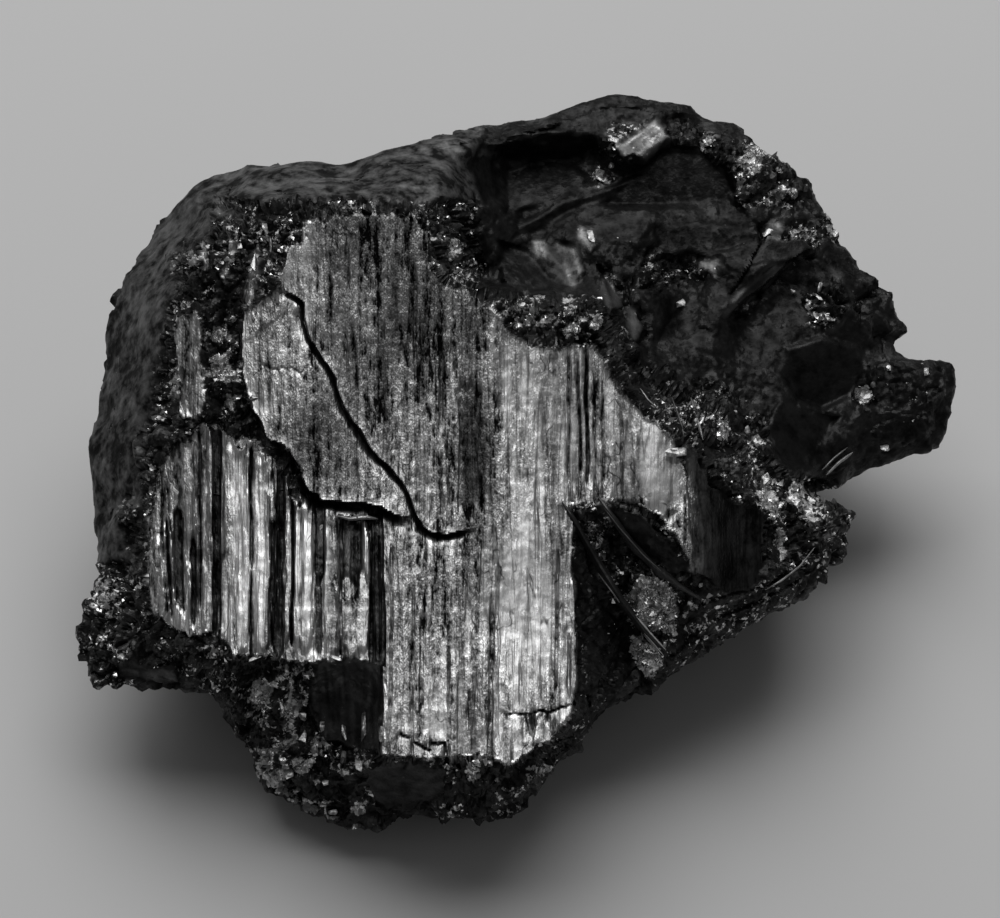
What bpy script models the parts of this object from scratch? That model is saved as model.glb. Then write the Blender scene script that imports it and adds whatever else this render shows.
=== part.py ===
"""A hand-sized lump of vein graphite, modelled as one solid stone.

The lump rests on a flat broken face. A striated slab leans on its front, its long fibres running up
the slope; a lower, hackly block joins it behind and to the right; a granular foot sticks out at the
left, and a stepped pocket is broken out of the slab's right edge.

The stone is laid out as a surveyor would sight it: an eye stands in front of it and above it, and
each sighted point is given by how far it lies to the right, how far up, and how far toward the eye,
all measured from the aim point in the middle of the stone. The outline that the eye sees parts the
skin into two sheets, the seen one and the hidden one. Each sheet is a net of triangles over its own
points, and the two are joined along the outline into one closed cage. Modifiers then turn the cage
into broken stone and cut its foot flat.
"""

import math

import bmesh
import bpy
from mathutils import Matrix, Vector
from mathutils.geometry import delaunay_2d_cdt

MM = 0.001

# Driving dimensions, in metres.
EYE_ELEVATION = math.radians(50)  # above the floor
EYE_DISTANCE = 500 * MM           # from the aim point
AIM = Vector((0, 0, 20 * MM))     # the middle of the stone, above the middle of its foot
FOOT_DEPTH = 1 * MM               # how far the cage reaches below the floor before its foot is cut flat
SKIN_VOXEL = 0.65 * MM            # grain of the net that replaces the cage
ROUNDING_STEPS = 1                # smoothing passes that break the cage's sharp edges
LUMP_SIZE, LUMP_HEIGHT = 9 * MM, 1.2 * MM      # broad swells of a broken face
FACET_SIZE, FACET_HEIGHT = 4.5 * MM, 1.0 * MM  # hackly chips
GRAIN_SIZE, GRAIN_HEIGHT = 2.2 * MM, 0.7 * MM  # coarse grain
KEPT_SHARE = 0.09                 # share of the triangles kept in the finished solid

# The slab's face: a slope that rolls off toward its left side, in mm along the eye's axes.
FACE_LEVEL = 14      # toward the eye, level with the aim point
FACE_FALL = 0.27     # away from the eye for each mm up
ROLL_START = -15     # to the right; the roll lies to the left of it
ROLL_WIDTH = 17
ROLL_DROP = 3.5      # away from the eye at the end of that width
RIDGE_DROP = 1.2     # how far the ridged lower left lies below the sheets over it

# The outline that the eye sees, clockwise from the left shoulder: right, up and toward, in mm.
OUTLINE = [
    (-39.0, 14.9, -7), (-37.3, 19.2, -8), (-34.4, 23.2, -9), (-32.6, 26.1, -9.5),
    (-30.2, 28.4, -9.5), (-26.0, 29.6, -8.5), (-22.0, 30.0, -7.5), (-16.0, 29.6, -6.5),
    # the ridge rises to the rim of the block behind
    (-10.0, 31.2, -7), (-7.2, 32.7, -9), (-1.5, 34.0, -12), (0.0, 33.7, -12.5),
    (7.0, 35.5, -13.5), (10.0, 36.4, -14), (13.5, 36.8, -14.5), (18.0, 36.4, -15),
    (24.2, 33.6, -15), (30.5, 28.8, -14.5), (32.8, 24.4, -13.5),
    # the block's right end, with its split
    (36.2, 20.5, -12.5), (38.2, 18.7, -12), (38.8, 16.6, -11.5), (41.8, 12.7, -10.5),
    (39.8, 11.3, -10), (41.5, 10.5, -10), (45.2, 10.4, -10.5),
    (46.4, 8.4, -10.5), (45.2, 3.6, -9.5), (43.2, 0.2, -9), (40.5, 0.2, -8.5),
    (35.0, -2.1, -7), (31.7, -3.9, -4),
    # the slab's pointed right corner and its lower edge
    (34.2, -3.6, 1), (36.2, -5.9, 2), (34.6, -10.0, 3.5), (29.3, -14.4, 6),
    (23.8, -17.1, 8), (18.8, -20.9, 9.5), (13.6, -24.4, 10), (8.8, -26.3, 10.5),
    # the front under the apron
    (8.6, -28.8, 11.5), (4.8, -32.4, 11.5), (2.3, -35.3, 11.5), (-0.5, -36.0, 11),
    (-5.5, -36.0, 11), (-10.0, -36.5, 11), (-11.5, -37.8, 10.5), (-15.4, -37.9, 10.5),
    (-19.2, -36.0, 9.5), (-24.0, -33.8, 8.5), (-24.8, -32.1, 8), (-24.5, -29.6, 8),
    (-27.4, -26.5, 9), (-28.6, -24.5, 9.5),
    # the foot at the left, and the left side
    (-34.0, -23.1, 9), (-40.8, -22.8, 7.5), (-42.4, -20.0, 7), (-42.9, -18.2, 6.5),
    (-41.4, -14.4, 4), (-40.4, -12.1, 2), (-41.0, -6.1, -1.5), (-40.9, 1.4, -3.5),
    (-39.8, 8.9, -5.5),
]

# Points on the slab's face: right, up, and how far they stand over it.
SLAB_EDGE = [
    (-21.0, 24.7, 0), (-12.0, 25.4, 0), (-6.8, 24.9, 0), (-7.0, 17.9, 0),
    (-1.0, 16.1, -0.3), (9.0, 15.6, -0.3), (11.2, 10.9, 0), (14.5, 5.4, 0),
    (18.2, 1.1, -0.2), (20.0, -4.1, -0.4), (19.7, -10.1, -0.6),
    # round the pocket, then down the apron's right side and along its front
    (15.0, -6.6, 0), (10.2, -4.6, 0), (6.8, -4.8, 0), (7.7, -14.1, 0),
    (7.3, -24.6, 0), (4.5, -28.6, -0.2), (1.5, -30.9, -0.2), (-6.0, -29.9, 0),
    (-11.5, -29.8, 0),
    # the ridged left half stops short of the apron
    (-11.8, -19.8, 0), (-17.0, -20.1, -1), (-23.5, -19.8, -1), (-28.0, -19.6, -1),
    (-33.5, -16.1, -0.5), (-34.0, -8.1, -0.5), (-32.2, 3.9, 0), (-32.0, 13.9, 0),
    (-29.5, 19.7, 0), (-25.5, 23.4, 0),
]
LEDGE = [
    (-26.5, 7.0, 0.2), (-23.8, 3.2, 0.2), (-21.5, 1.2, 0.2), (-19.8, -1.9, 0.2),
    (-18.0, -3.9, 0.2), (-13.5, -4.3, 0.1), (-9.5, -5.9, 0), (-5.2, -7.5, 0), (-2.0, -7.2, 0),
]
LEDGE_FOOT = [
    (-27.4, 6.0, -0.8), (-24.7, 2.2, -RIDGE_DROP), (-22.6, 0.2, -RIDGE_DROP),
    (-20.9, -2.8, -RIDGE_DROP), (-18.5, -4.9, -RIDGE_DROP), (-13.7, -5.3, -RIDGE_DROP),
    (-9.9, -6.9, -0.7), (-5.6, -8.5, -0.3),
]
FACE_SPOTS = [
    (-30.0, -2.0, -0.6), (-26.0, -10.0, -1.3), (-17.0, -12.0, -1.3), (-11.0, -12.0, -0.4),
    (-4.0, -20.0, 0), (2.0, -14.0, 0.3), (2.0, 0.0, 0.4), (-8.0, 4.0, 0.2), (-14.0, 12.0, 0.2),
    (-23.0, 11.0, 0.2), (8.0, 6.0, 0.2), (-4.0, 11.0, -0.2),
]

# The edges of the split sheets that stand in the pocket: right, up and toward.
SPLIT_EDGE = [(7.8, -6.2, 13.4), (9.0, -8.6, 13.2), (12.2, -14.6, 12.6), (16.6, -19.2, 11.5)]
SPLIT_SHEET = [(11.5, -7.6, 13.4), (14.4, -10.8, 13.3), (18.7, -14.0, 12.2)]

# The foot of the cliff where the slab stands above the block behind, from the ridge to the corner.
CLIFF_FOOT = [
    (-1.8, 25.1, -5), (-1.8, 17.8, -3), (0.5, 17.1, -4), (10.5, 16.6, -3.5), (14.0, 12.4, -2.5),
    (18.8, 8.2, -1.5), (23.0, 5.6, -0.5), (27.5, 2.8, -1), (30.8, -1.4, -1.5),
]

# The inner edge of the rim round the block's hollow, and the edge of the blade that crosses it.
RIM_EDGE = [
    (-1.0, 31.5, -9), (4.0, 32.5, -9.5), (9.0, 32.3, -10), (12.0, 29.4, -10.1),
    (15.0, 30.4, -10.4), (16.5, 31.9, -11), (20.0, 30.9, -11), (22.5, 30.2, -11),
    (24.5, 26.9, -10.2), (26.2, 23.6, -9.8), (30.0, 22.4, -10.8),
]
BLADE = [(21.6, 13.9, -3.6), (25.5, 17.9, -5.2), (29.5, 21.3, -7.8)]

# Scattered points of the seen sheet, by the face that they shape.
HOLLOW = [
    (4.5, 30.9, -14), (0.8, 28.4, -12.5), (9.8, 29.8, -13.5), (13.2, 27.6, -13),
    (18.0, 29.2, -13.6), (21.8, 26.6, -12.6), (6.5, 25.6, -8.6), (14.0, 24.4, -8.0),
    (20.4, 22.4, -8.2), (3.0, 21.9, -7.6), (8.7, 21.9, -5.8), (8.0, 17.8, -4.6),
    (3.6, 18.0, -5.4), (12.4, 19.4, -4.6), (13.6, 14.6, -2.0), (16.8, 19.6, -7.0),
    (19.6, 16.6, -7.2), (17.8, 12.2, -3.4),
]
BLOCK_END = [
    (23.8, 13.2, -6.8), (27.6, 16.6, -9.0), (31.6, 19.4, -9.8), (33.6, 15.2, -7.6),
    (28.8, 11.9, -6.4), (36.4, 10.2, -8.6), (36.2, 2.6, -5.6), (30.0, 2.4, -3.4),
    (39.6, 8.0, -6.8), (42.6, 6.6, -7.2), (41.0, 3.0, -6.6), (24.6, 9.0, -3.4),
]
FLANK = [
    (13.2, 9.6, 6.5), (17.2, 4.9, 8.5), (21.2, 2.2, 8.6), (25.0, 0.0, 7.2), (29.4, -2.4, 4.4),
    (24.6, -5.4, 10.2), (31.0, -6.2, 5.2), (29.0, -10.8, 7.6), (24.0, -12.9, 10.8),
    (21.2, -14.2, 11.8),
]
POCKET = [
    (8.3, -10.4, 8.4), (8.9, -16.1, 9.2), (9.5, -23.6, 11.6), (11.6, -17.4, 9.4),
    (13.4, -21.4, 11),
]
FRONT = [
    (7.3, -27.2, 14.5), (2.0, -33.1, 15.4), (-5.6, -31.2, 19.6), (-6.0, -33.6, 15.6),
    (-11.6, -31.0, 19.4), (-12.4, -34.4, 14.4), (-12.6, -24.1, 15.2), (-15.6, -22.2, 13.4),
    (-20.0, -24.1, 14.5), (-14.6, -28.4, 13.2), (-19.0, -30.1, 13.6), (-22.0, -30.1, 11.5),
    (-15.0, -35.4, 12.2), (-25.5, -23.1, 12.5),
]
LEFT_SIDE = [
    (-31.0, -20.8, 13), (-36.6, -17.2, 12.0), (-38.4, -20.0, 9.6), (-39.4, -14.6, 6.5),
    (-37.5, -6.1, 5.5), (-36.5, 3.9, 3.5), (-35.5, 13.9, 1.5), (-33.0, 19.9, 0),
    (-28.5, 24.7, -0.5), (-20.0, 27.3, 1), (-10.0, 28.1, 1.5), (-4.5, 30.4, -5),
]

# The hidden sheet, in the stone's own frame: across, away from the eye, and height, in mm.
FOOT_RING = [
    (-22, -20), (-14, -26), (-2, -26), (6, -20), (16, -9), (24, 2),
    (22, 18), (12, 28), (-4, 29), (-18, 24), (-26, 10), (-27, -6),
]
WALL = [
    (-35, -8, 8), (-36, 8, 9), (-31, 20, 11), (-16, 30, 13), (2, 35, 13), (18, 36, 14),
    (30, 27, 11), (40.5, 19.5, 17.5), (40, 16, 9), (44, 14.4, 12.5), (36, 10, 8), (34, -3.4, 13),
    (30, -3, 8), (-32, -17, 8), (-38.5, -14, 8),
]

RIGHT = Vector((1, 0, 0))
UP = Vector((0, math.sin(EYE_ELEVATION), math.cos(EYE_ELEVATION)))
TOWARD = Vector((0, -math.cos(EYE_ELEVATION), math.sin(EYE_ELEVATION)))


def sighted(right, up, toward):
    """The place of a sighted point: the nearer the eye, the closer its sight line is to the axis."""
    nearness = 1 - toward * MM / EYE_DISTANCE
    return AIM + (RIGHT * right + UP * up) * MM * nearness + TOWARD * toward * MM


def on_face(right, up, over):
    """The place of a point that stands that far over the slab's face."""
    roll = max(0, ROLL_START - right) / ROLL_WIDTH
    return sighted(right, up, FACE_LEVEL - FACE_FALL * up - ROLL_DROP * roll ** 2 + over)


def sight_line(place):
    """Where the sight line of a place crosses the aim plane: right and up."""
    offset = place - AIM
    nearness = 1 - offset.dot(TOWARD) / EYE_DISTANCE
    return Vector((offset.dot(RIGHT), offset.dot(UP))) / nearness


class Sheet:
    """One side of the skin: its places, starting with the outline's, and the edges it must keep."""

    def __init__(self, outline):
        self.outline = list(range(len(outline)))
        self.places = list(outline)
        self.edges = []

    def add(self, places, chain=False, closed=False):
        """Adds places, kept as a run of edges if they are a chain, and as a ring if closed."""
        run = list(range(len(self.places), len(self.places) + len(places)))
        self.places += places
        if chain or closed:
            self.edges += list(zip(run, run[1:]))
        if closed:
            self.edges.append((run[-1], run[0]))

    def triangles(self):
        """Triangles over the places as the eye sees them, inside the outline."""
        flat = [sight_line(place) for place in self.places]
        _, _, faces, sources, _, _ = delaunay_2d_cdt(flat, self.edges, [self.outline], 1, 1e-9)
        return [[sources[corner][0] for corner in face] for face in faces]


def seen_sheet(outline):
    """The side of the skin that the eye sees."""
    sheet = Sheet(outline)
    sheet.add([on_face(*point) for point in SLAB_EDGE], closed=True)
    for chain in (LEDGE, LEDGE_FOOT):
        sheet.add([on_face(*point) for point in chain], chain=True)
    sheet.add([on_face(*point) for point in FACE_SPOTS])
    for chain in (SPLIT_EDGE, CLIFF_FOOT, RIM_EDGE, BLADE):
        sheet.add([sighted(*point) for point in chain], chain=True)
    for spots in (SPLIT_SHEET, HOLLOW, BLOCK_END, FLANK, POCKET, FRONT, LEFT_SIDE):
        sheet.add([sighted(*point) for point in spots])
    return sheet


def hidden_sheet(outline):
    """The back and the underside, with a flat foot."""
    sheet = Sheet(outline)
    sheet.add([Vector((x * MM, y * MM, -FOOT_DEPTH)) for x, y in FOOT_RING], closed=True)
    sheet.add([Vector(point) * MM for point in WALL])
    return sheet


def cage():
    """The closed cage of the stone: the seen sheet and the hidden sheet, joined at the outline."""
    outline = [sighted(*point) for point in OUTLINE]
    shape = bmesh.new()
    rim = [shape.verts.new(place) for place in outline]
    for sheet in (seen_sheet(outline), hidden_sheet(outline)):
        corners = rim + [shape.verts.new(place) for place in sheet.places[len(rim):]]
        for face in sheet.triangles():
            shape.faces.new([corners[corner] for corner in face])
    bmesh.ops.recalc_face_normals(shape, faces=shape.faces)
    mesh = bpy.data.meshes.new("graphite_lump")
    shape.to_mesh(mesh)
    shape.free()
    return mesh


def graphite():
    """Dark grey, half metallic, with a greasy shine."""
    material = bpy.data.materials.new("graphite")
    material.use_nodes = True
    shader = material.node_tree.nodes["Principled BSDF"]
    shader.inputs["Base Color"].default_value = (0.06, 0.06, 0.062, 1)
    shader.inputs["Roughness"].default_value = 0.42
    shader.inputs["Metallic"].default_value = 0.7
    return material


def roughen(stone, name, kind, size, height):
    """Moves the skin in and out by a texture of that grain size and height."""
    texture = bpy.data.textures.new(name, kind)
    texture.noise_scale = size
    swell = stone.modifiers.new(name, "DISPLACE")
    swell.texture = texture
    swell.strength = height
    swell.mid_level = 0.5
    swell.texture_coords = "LOCAL"


def floor_cutter():
    """A block that fills the space below the floor, to cut the stone's foot flat."""
    size = 0.2
    bpy.ops.mesh.primitive_cube_add(size=size, location=(0, 0, -size / 2))
    cutter = bpy.context.object
    cutter.name = "floor_cutter"
    cutter.hide_render = True
    cutter.display_type = "WIRE"
    return cutter


def settle(stone):
    """Applies the modifiers and moves the stone over the origin, by the middle of its own box."""
    bpy.context.view_layer.objects.active = stone
    for name in [modifier.name for modifier in stone.modifiers]:
        bpy.ops.object.modifier_apply(modifier=name)
    corners = [Vector(corner) for corner in stone.bound_box]
    low = Vector(map(min, zip(*corners)))
    high = Vector(map(max, zip(*corners)))
    middle = (low + high) / 2
    stone.data.transform(Matrix.Translation((-middle.x, -middle.y, 0)))
    print("aim point from the origin, mm:", [round(side / MM, 3) for side in -middle.xy])


def main():
    for leftover in list(bpy.data.objects):
        bpy.data.objects.remove(leftover)

    stone = bpy.data.objects.new("graphite_lump", cage())
    bpy.context.scene.collection.objects.link(stone)
    stone.data.materials.append(graphite())

    skin = stone.modifiers.new("skin", "REMESH")
    skin.mode = "VOXEL"
    skin.voxel_size = SKIN_VOXEL
    rounding = stone.modifiers.new("rounding", "SMOOTH")
    rounding.iterations = ROUNDING_STEPS
    roughen(stone, "swells", "CLOUDS", LUMP_SIZE, LUMP_HEIGHT)
    roughen(stone, "chips", "VORONOI", FACET_SIZE, FACET_HEIGHT)
    roughen(stone, "grain", "CLOUDS", GRAIN_SIZE, GRAIN_HEIGHT)
    thinning = stone.modifiers.new("thinning", "DECIMATE")
    thinning.ratio = KEPT_SHARE
    foot_cut = stone.modifiers.new("foot_cut", "BOOLEAN")
    foot_cut.operation = "DIFFERENCE"
    foot_cut.object = floor_cutter()
    settle(stone)


main()
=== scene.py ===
"""Looks for a hand-sized lump of vein graphite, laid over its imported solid.

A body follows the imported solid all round. The side that shows is covered by three finer skins: the
striated face of the slab, the broken rim round it, and the hackly block behind. All of them take
their shape from one description of that side, so they meet without a step. Crystals and splinters
stand on the broken stone.

Places on the seen side are sighted from the viewing point: how far to the right and how far up they
lie in the plane through the aim point, and how far toward the eye they stand, in millimetres.
"""

import logging
import math
from dataclasses import dataclass
from enum import Enum
from itertools import product

import bmesh
import bpy
import numpy as np
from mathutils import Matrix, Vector
from mathutils.bvhtree import BVHTree


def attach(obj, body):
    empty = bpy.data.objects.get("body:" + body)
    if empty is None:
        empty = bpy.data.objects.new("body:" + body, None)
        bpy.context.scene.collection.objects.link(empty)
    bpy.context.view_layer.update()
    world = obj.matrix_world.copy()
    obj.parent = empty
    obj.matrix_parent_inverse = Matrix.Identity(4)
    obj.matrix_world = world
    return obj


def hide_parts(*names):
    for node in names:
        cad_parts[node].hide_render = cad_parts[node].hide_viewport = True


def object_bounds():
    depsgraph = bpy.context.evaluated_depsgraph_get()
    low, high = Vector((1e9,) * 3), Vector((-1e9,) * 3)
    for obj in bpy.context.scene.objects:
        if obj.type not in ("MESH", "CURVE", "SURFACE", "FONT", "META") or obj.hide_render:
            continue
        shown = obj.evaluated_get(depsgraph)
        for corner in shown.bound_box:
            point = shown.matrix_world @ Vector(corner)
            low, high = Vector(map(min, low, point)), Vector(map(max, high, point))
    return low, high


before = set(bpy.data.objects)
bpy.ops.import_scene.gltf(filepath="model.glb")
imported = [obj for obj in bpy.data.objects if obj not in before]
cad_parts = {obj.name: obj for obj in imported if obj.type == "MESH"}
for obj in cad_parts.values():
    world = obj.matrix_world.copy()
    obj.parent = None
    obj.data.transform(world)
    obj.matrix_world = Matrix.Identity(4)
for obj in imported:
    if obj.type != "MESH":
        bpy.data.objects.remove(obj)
CAD_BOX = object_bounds()

log = logging.getLogger("graphite")
MM = 0.001
NODE = "graphite_lump"
SEED = 7

Array = np.ndarray
Socket = bpy.types.NodeSocket
Outline = tuple[tuple[float, float], ...]
Pattern = tuple[float, float, float, float]
Strand = tuple[float, float, float]


# ---- Sight frame ----


@dataclass(frozen=True)
class Sight:
    """The eye that the stone is laid out from, and the camera's place.

    Lengths are in millimetres, the elevation in degrees above the floor.
    """

    aim: tuple[float, float, float] = (-2.441, -0.767, 20.0)
    elevation: float = 50.0
    distance: float = 500.0
    frame_width: float = 100.0

    @property
    def axes(self) -> Array:
        """Right, up and toward the eye, one to a row.

        Returns:
            One unit direction to a row.
        """
        angle = math.radians(self.elevation)
        return np.array([
            (1.0, 0.0, 0.0),
            (0.0, math.sin(angle), math.cos(angle)),
            (0.0, -math.cos(angle), math.sin(angle)),
        ])

    def places(self, right: Array, up: Array, toward: Array) -> Array:
        """Turns sighted numbers into places.

        Args:
            right: millimetres to the right in the aim plane.
            up: millimetres up in the aim plane.
            toward: millimetres toward the eye from the aim plane.

        Returns:
            One place to a row, in metres.
        """
        nearness = 1 - toward / self.distance
        across = np.stack([right * nearness, up * nearness, toward], axis=1)
        return (np.array(self.aim) + across @ self.axes) * MM

    def sighted(self, places: Array) -> tuple[Array, Array, Array]:
        """Turns places into sighted numbers.

        Args:
            places: one place to a row, in metres.

        Returns:
            Right, up and toward, in millimetres.
        """
        across = (places / MM - np.array(self.aim)) @ self.axes.T
        nearness = 1 - across[:, 2] / self.distance
        return across[:, 0] / nearness, across[:, 1] / nearness, across[:, 2]

    @property
    def eye(self) -> Array:
        """The eye's place, in metres."""
        return (np.array(self.aim) + self.axes[2] * self.distance) * MM


# ---- Noise and distance fields, worked out for whole arrays ----


class Noise:
    """Seeded lattice noise for arrays of points."""

    def __init__(self, seed: int) -> None:
        """Keeps the seed that every number is drawn from."""
        self.seed = seed

    def drawn(self, cells: Array, channel: int = 0) -> Array:
        """A number from 0 to 1 for each lattice cell.

        Args:
            cells: whole numbers, one cell to a row.
            channel: which of a cell's numbers to draw.

        Returns:
            One number for each row.
        """
        mixed = np.full(len(cells), self.seed * 7919 + channel * 104729 + 1, np.uint64)
        for column in range(cells.shape[1]):
            mixed ^= cells[:, column].astype(np.int64).astype(np.uint64)
            mixed *= np.uint64(0x9E3779B97F4A7C15)
            mixed ^= mixed >> np.uint64(29)
            mixed *= np.uint64(0xBF58476D1CE4E5B9)
            mixed ^= mixed >> np.uint64(32)
        return (mixed >> np.uint64(11)).astype(np.float64) / 2.0**53

    def swell(self, points: Array, channel: int = 0) -> Array:
        """Smooth noise from -1 to 1, with a lattice one unit wide.

        Args:
            points: one point to a row, in lattice units.
            channel: which noise to draw.

        Returns:
            One number for each row.
        """
        base = np.floor(points)
        part = points - base
        part = part * part * (3 - 2 * part)
        total = np.zeros(len(points))
        for corner in product((0, 1), repeat=points.shape[1]):
            step = np.array(corner)
            weight = np.prod(np.where(step == 1, part, 1 - part), axis=1)
            total += weight * self.drawn((base + step).astype(np.int64), channel)
        return total * 2 - 1

    def layers(self, points: Array, octaves: int, channel: int = 0) -> Array:
        """Swells of halving width and height, from about -1 to 1.

        Args:
            points: one point to a row, in lattice units.
            octaves: how many swells.
            channel: which noise to draw.

        Returns:
            One number for each row.
        """
        total = np.zeros(len(points))
        for octave in range(octaves):
            total += self.swell(points * 2**octave, channel + 31 * octave) / 2**octave
        return total / (2 - 2.0 ** (1 - octaves))

    def stretched(self, across: Array, along: Array, width: float, length: float, channel: int) -> Array:
        """Noise drawn out along one way, from -1 to 1."""
        return self.swell(np.stack([across / width, along / length], axis=1), channel)

    def crumbs(self, points: Array, tilt: float, channel: int) -> tuple[Array, Array]:
        """Flat-faced crumbs with seams between them.

        Args:
            points: one point to a row, in crumb widths.
            tilt: how much a crumb's face rises across one crumb width.
            channel: which crumbs to draw.

        Returns:
            The height of the crumb that each point lies on, in crumb widths, and how far the point
            is from the seam round that crumb.
        """
        base = np.floor(points).astype(np.int64)
        near = np.full(len(points), np.inf)
        second = np.full(len(points), np.inf)
        offset = np.zeros_like(points)
        owner = np.zeros_like(base)
        for step in product((-1, 0, 1), repeat=3):
            cell = base + np.array(step)
            seed = cell + np.stack([self.drawn(cell, channel + k) for k in range(3)], axis=1)
            away = points - seed
            gap = np.einsum("ij,ij->i", away, away)
            closer = gap < near
            second = np.where(closer, near, np.minimum(second, gap))
            near = np.where(closer, gap, near)
            offset[closer] = away[closer]
            owner[closer] = cell[closer]
        lean = np.stack([self.drawn(owner, channel + k) for k in range(3, 6)], axis=1) - 0.5
        rise = self.drawn(owner, channel + 6) - 0.5
        height = rise * 0.8 + 2 * tilt * np.einsum("ij,ij->i", lean, offset)
        return height, np.sqrt(second) - np.sqrt(near)

    def facets(self, points: Array, tilt: float, channel: int) -> Array:
        """Tilted facets that meet along sharp hollow creases, as heights in facet widths.

        Args:
            points: one point to a row, in facet widths.
            tilt: how much a facet rises across one facet width.
            channel: which facets to draw.

        Returns:
            One height for each row.
        """
        base = np.floor(points).astype(np.int64)
        skin = np.full(len(points), -np.inf)
        for step in product((-1, 0, 1), repeat=3):
            cell = base + np.array(step)
            drawn = [self.drawn(cell, channel + k) for k in range(7)]
            offset = points - (cell + np.stack(drawn[:3], axis=1))
            lean = np.stack(drawn[3:6], axis=1) - 0.5
            face = drawn[6] - 0.5 + 2 * tilt * np.einsum("ij,ij->i", lean, offset)
            skin = np.maximum(skin, face - 0.8 * np.einsum("ij,ij->i", offset, offset))
        return skin


def ramp(value: Array, low: float, high: float) -> Array:
    """0 at low, 1 at high, and an even S-curve between."""
    part = np.clip((value - low) / (high - low), 0, 1)
    return part * part * (3 - 2 * part)


def beside(line: Outline, right: Array, up: Array) -> tuple[Array, Array]:
    """How points lie beside an open line.

    Args:
        line: the line's points.
        right, up: the points to measure.

    Returns:
        The distance to the line, positive to the left of its run, and the length of line from its
        start to the nearest place on it.
    """
    best = np.full(len(right), np.inf)
    side = np.ones(len(right))
    along = np.zeros(len(right))
    run = 0.0
    for (x0, y0), (x1, y1) in zip(line, line[1:]):
        dx, dy = x1 - x0, y1 - y0
        length = math.hypot(dx, dy)
        part = np.clip(((right - x0) * dx + (up - y0) * dy) / length**2, 0, 1)
        gap = np.hypot(right - x0 - part * dx, up - y0 - part * dy)
        closer = gap < best - 1e-9
        best = np.where(closer, gap, best)
        side = np.where(closer, np.sign(dx * (up - y0) - dy * (right - x0)), side)
        along = np.where(closer, run + part * length, along)
        run += length
    return best * np.where(side == 0, 1, side), along


def inside(outline: Outline, right: Array, up: Array, margin: float = 4.0) -> Array:
    """The distance in from a closed outline: positive inside it, negative outside.

    Args:
        outline: the outline's corners.
        right, up: the points to measure.
        margin: how far outside the outline's box distances are still worked out.

    Returns:
        One distance for each point, and -margin beyond the margin.
    """
    low = np.min(outline, axis=0) - margin
    high = np.max(outline, axis=0) + margin
    near = (right > low[0]) & (right < high[0]) & (up > low[1]) & (up < high[1])
    x, y = right[near], up[near]
    ring = outline + outline[:1]
    crossed = np.zeros(len(x), bool)
    for (x0, y0), (x1, y1) in zip(ring, ring[1:]):
        spans = (y0 > y) != (y1 > y)
        if y0 != y1:
            crossed ^= spans & (x < (x1 - x0) * (y - y0) / (y1 - y0) + x0)
    gap, _ = beside(ring, x, y)
    depth = np.full(len(right), -margin)
    depth[near] = np.maximum(np.where(crossed, 1, -1) * np.abs(gap), -margin)
    return depth


# ---- Layout of the seen side, in millimetres right and up ----

FACE_OUTLINE: Outline = (
    (-19.6, 25.2), (-17, 24.8), (-12, 25), (-8, 24.7), (-6.6, 22.7), (-7.2, 19.9), (-6.2, 17.7),
    (-3.4, 16.9), (-1.4, 15.7), (-0.3, 14.3), (1.2, 12.7), (3.5, 11.4), (6, 11), (8.5, 11.5), (10, 10.9),
    (10.8, 9.1), (11.7, 7.1), (14, 4.9), (16.2, 3.1), (17.5, 1.4), (18.4, -1.1), (18.8, -4.1), (19, -7.6),
    (19, -10.3), (18.6, -9.3), (17.9, -8.1), (16.8, -6.5), (15.5, -5.3), (14, -4.8), (10.5, -4.2),
    (8.5, -4.4), (7.1, -4.6), (7.4, -10.1), (7.7, -18.1), (7.5, -23.1), (7.2, -25.3), (5.8, -27.6),
    (3, -29.2), (0.9, -30.8), (-0.2, -30), (-2, -29.6), (-6, -29.9), (-10, -29.8), (-12.1, -29.8),
    (-11.9, -24.1), (-11.6, -20.3), (-15.5, -20), (-20, -20.5), (-23.8, -19.6), (-26.5, -19.7),
    (-27.8, -18.1), (-29.5, -17.3), (-31.2, -17.9), (-33.5, -16.6), (-34.8, -14.7), (-35.2, -11.1),
    (-34.9, -6.1), (-34.2, -1.1), (-33, 2), (-30, 3.6), (-27, 4.6), (-25.6, 5.2), (-25.9, 9), (-26, 12.5),
    (-25.6, 14.7), (-23.8, 15.9), (-22.4, 16.9), (-21.9, 18.6), (-21.6, 20.3), (-21, 22.1), (-20.3, 23.9),
)
BLOCK_OUTLINE: Outline = (
    (-1.6, 32.7), (0, 34.9), (10, 38), (20, 37), (31, 28), (38, 19.5), (42.5, 12.5), (47, 10.5), (46, 2),
    (36, -2.5), (31.5, -1.9), (27, 0.4), (20, 5.9), (14, 10.7), (10.5, 16.3), (-1, 16.7), (-2.2, 24.4),
)
FOLD_OUTLINE: Outline = (
    (18.4, 1), (20, 0.5), (20.7, -2.1), (23, -4.4), (26, -5.4), (26.4, -10.1), (25.2, -13.3),
    (23.5, -13.9), (19, -11), (18.4, -4.1),
)
SIDE_OUTLINE: Outline = (
    (-42, -10.1), (-42, 5), (-39, 16), (-33.5, 25.5), (-29, 30), (-10, 32), (-2, 34), (-1.8, 28.7),
    (-2.2, 25.9), (-10, 25.6), (-22, 26), (-28.5, 24.1), (-33.5, 15.9), (-35, 3.9), (-36, -4.1),
    (-37.2, -10.1),
)
RIDGED_OUTLINE: Outline = (
    (-37, -23.1), (-11.6, -23.1), (-11.6, -5.4), (-18, -4.4), (-20, -3.1), (-21.2, -0.3), (-23.8, 1.1),
    (-26.5, 2.9), (-31, 4.4), (-37, 5.9),
)
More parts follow.
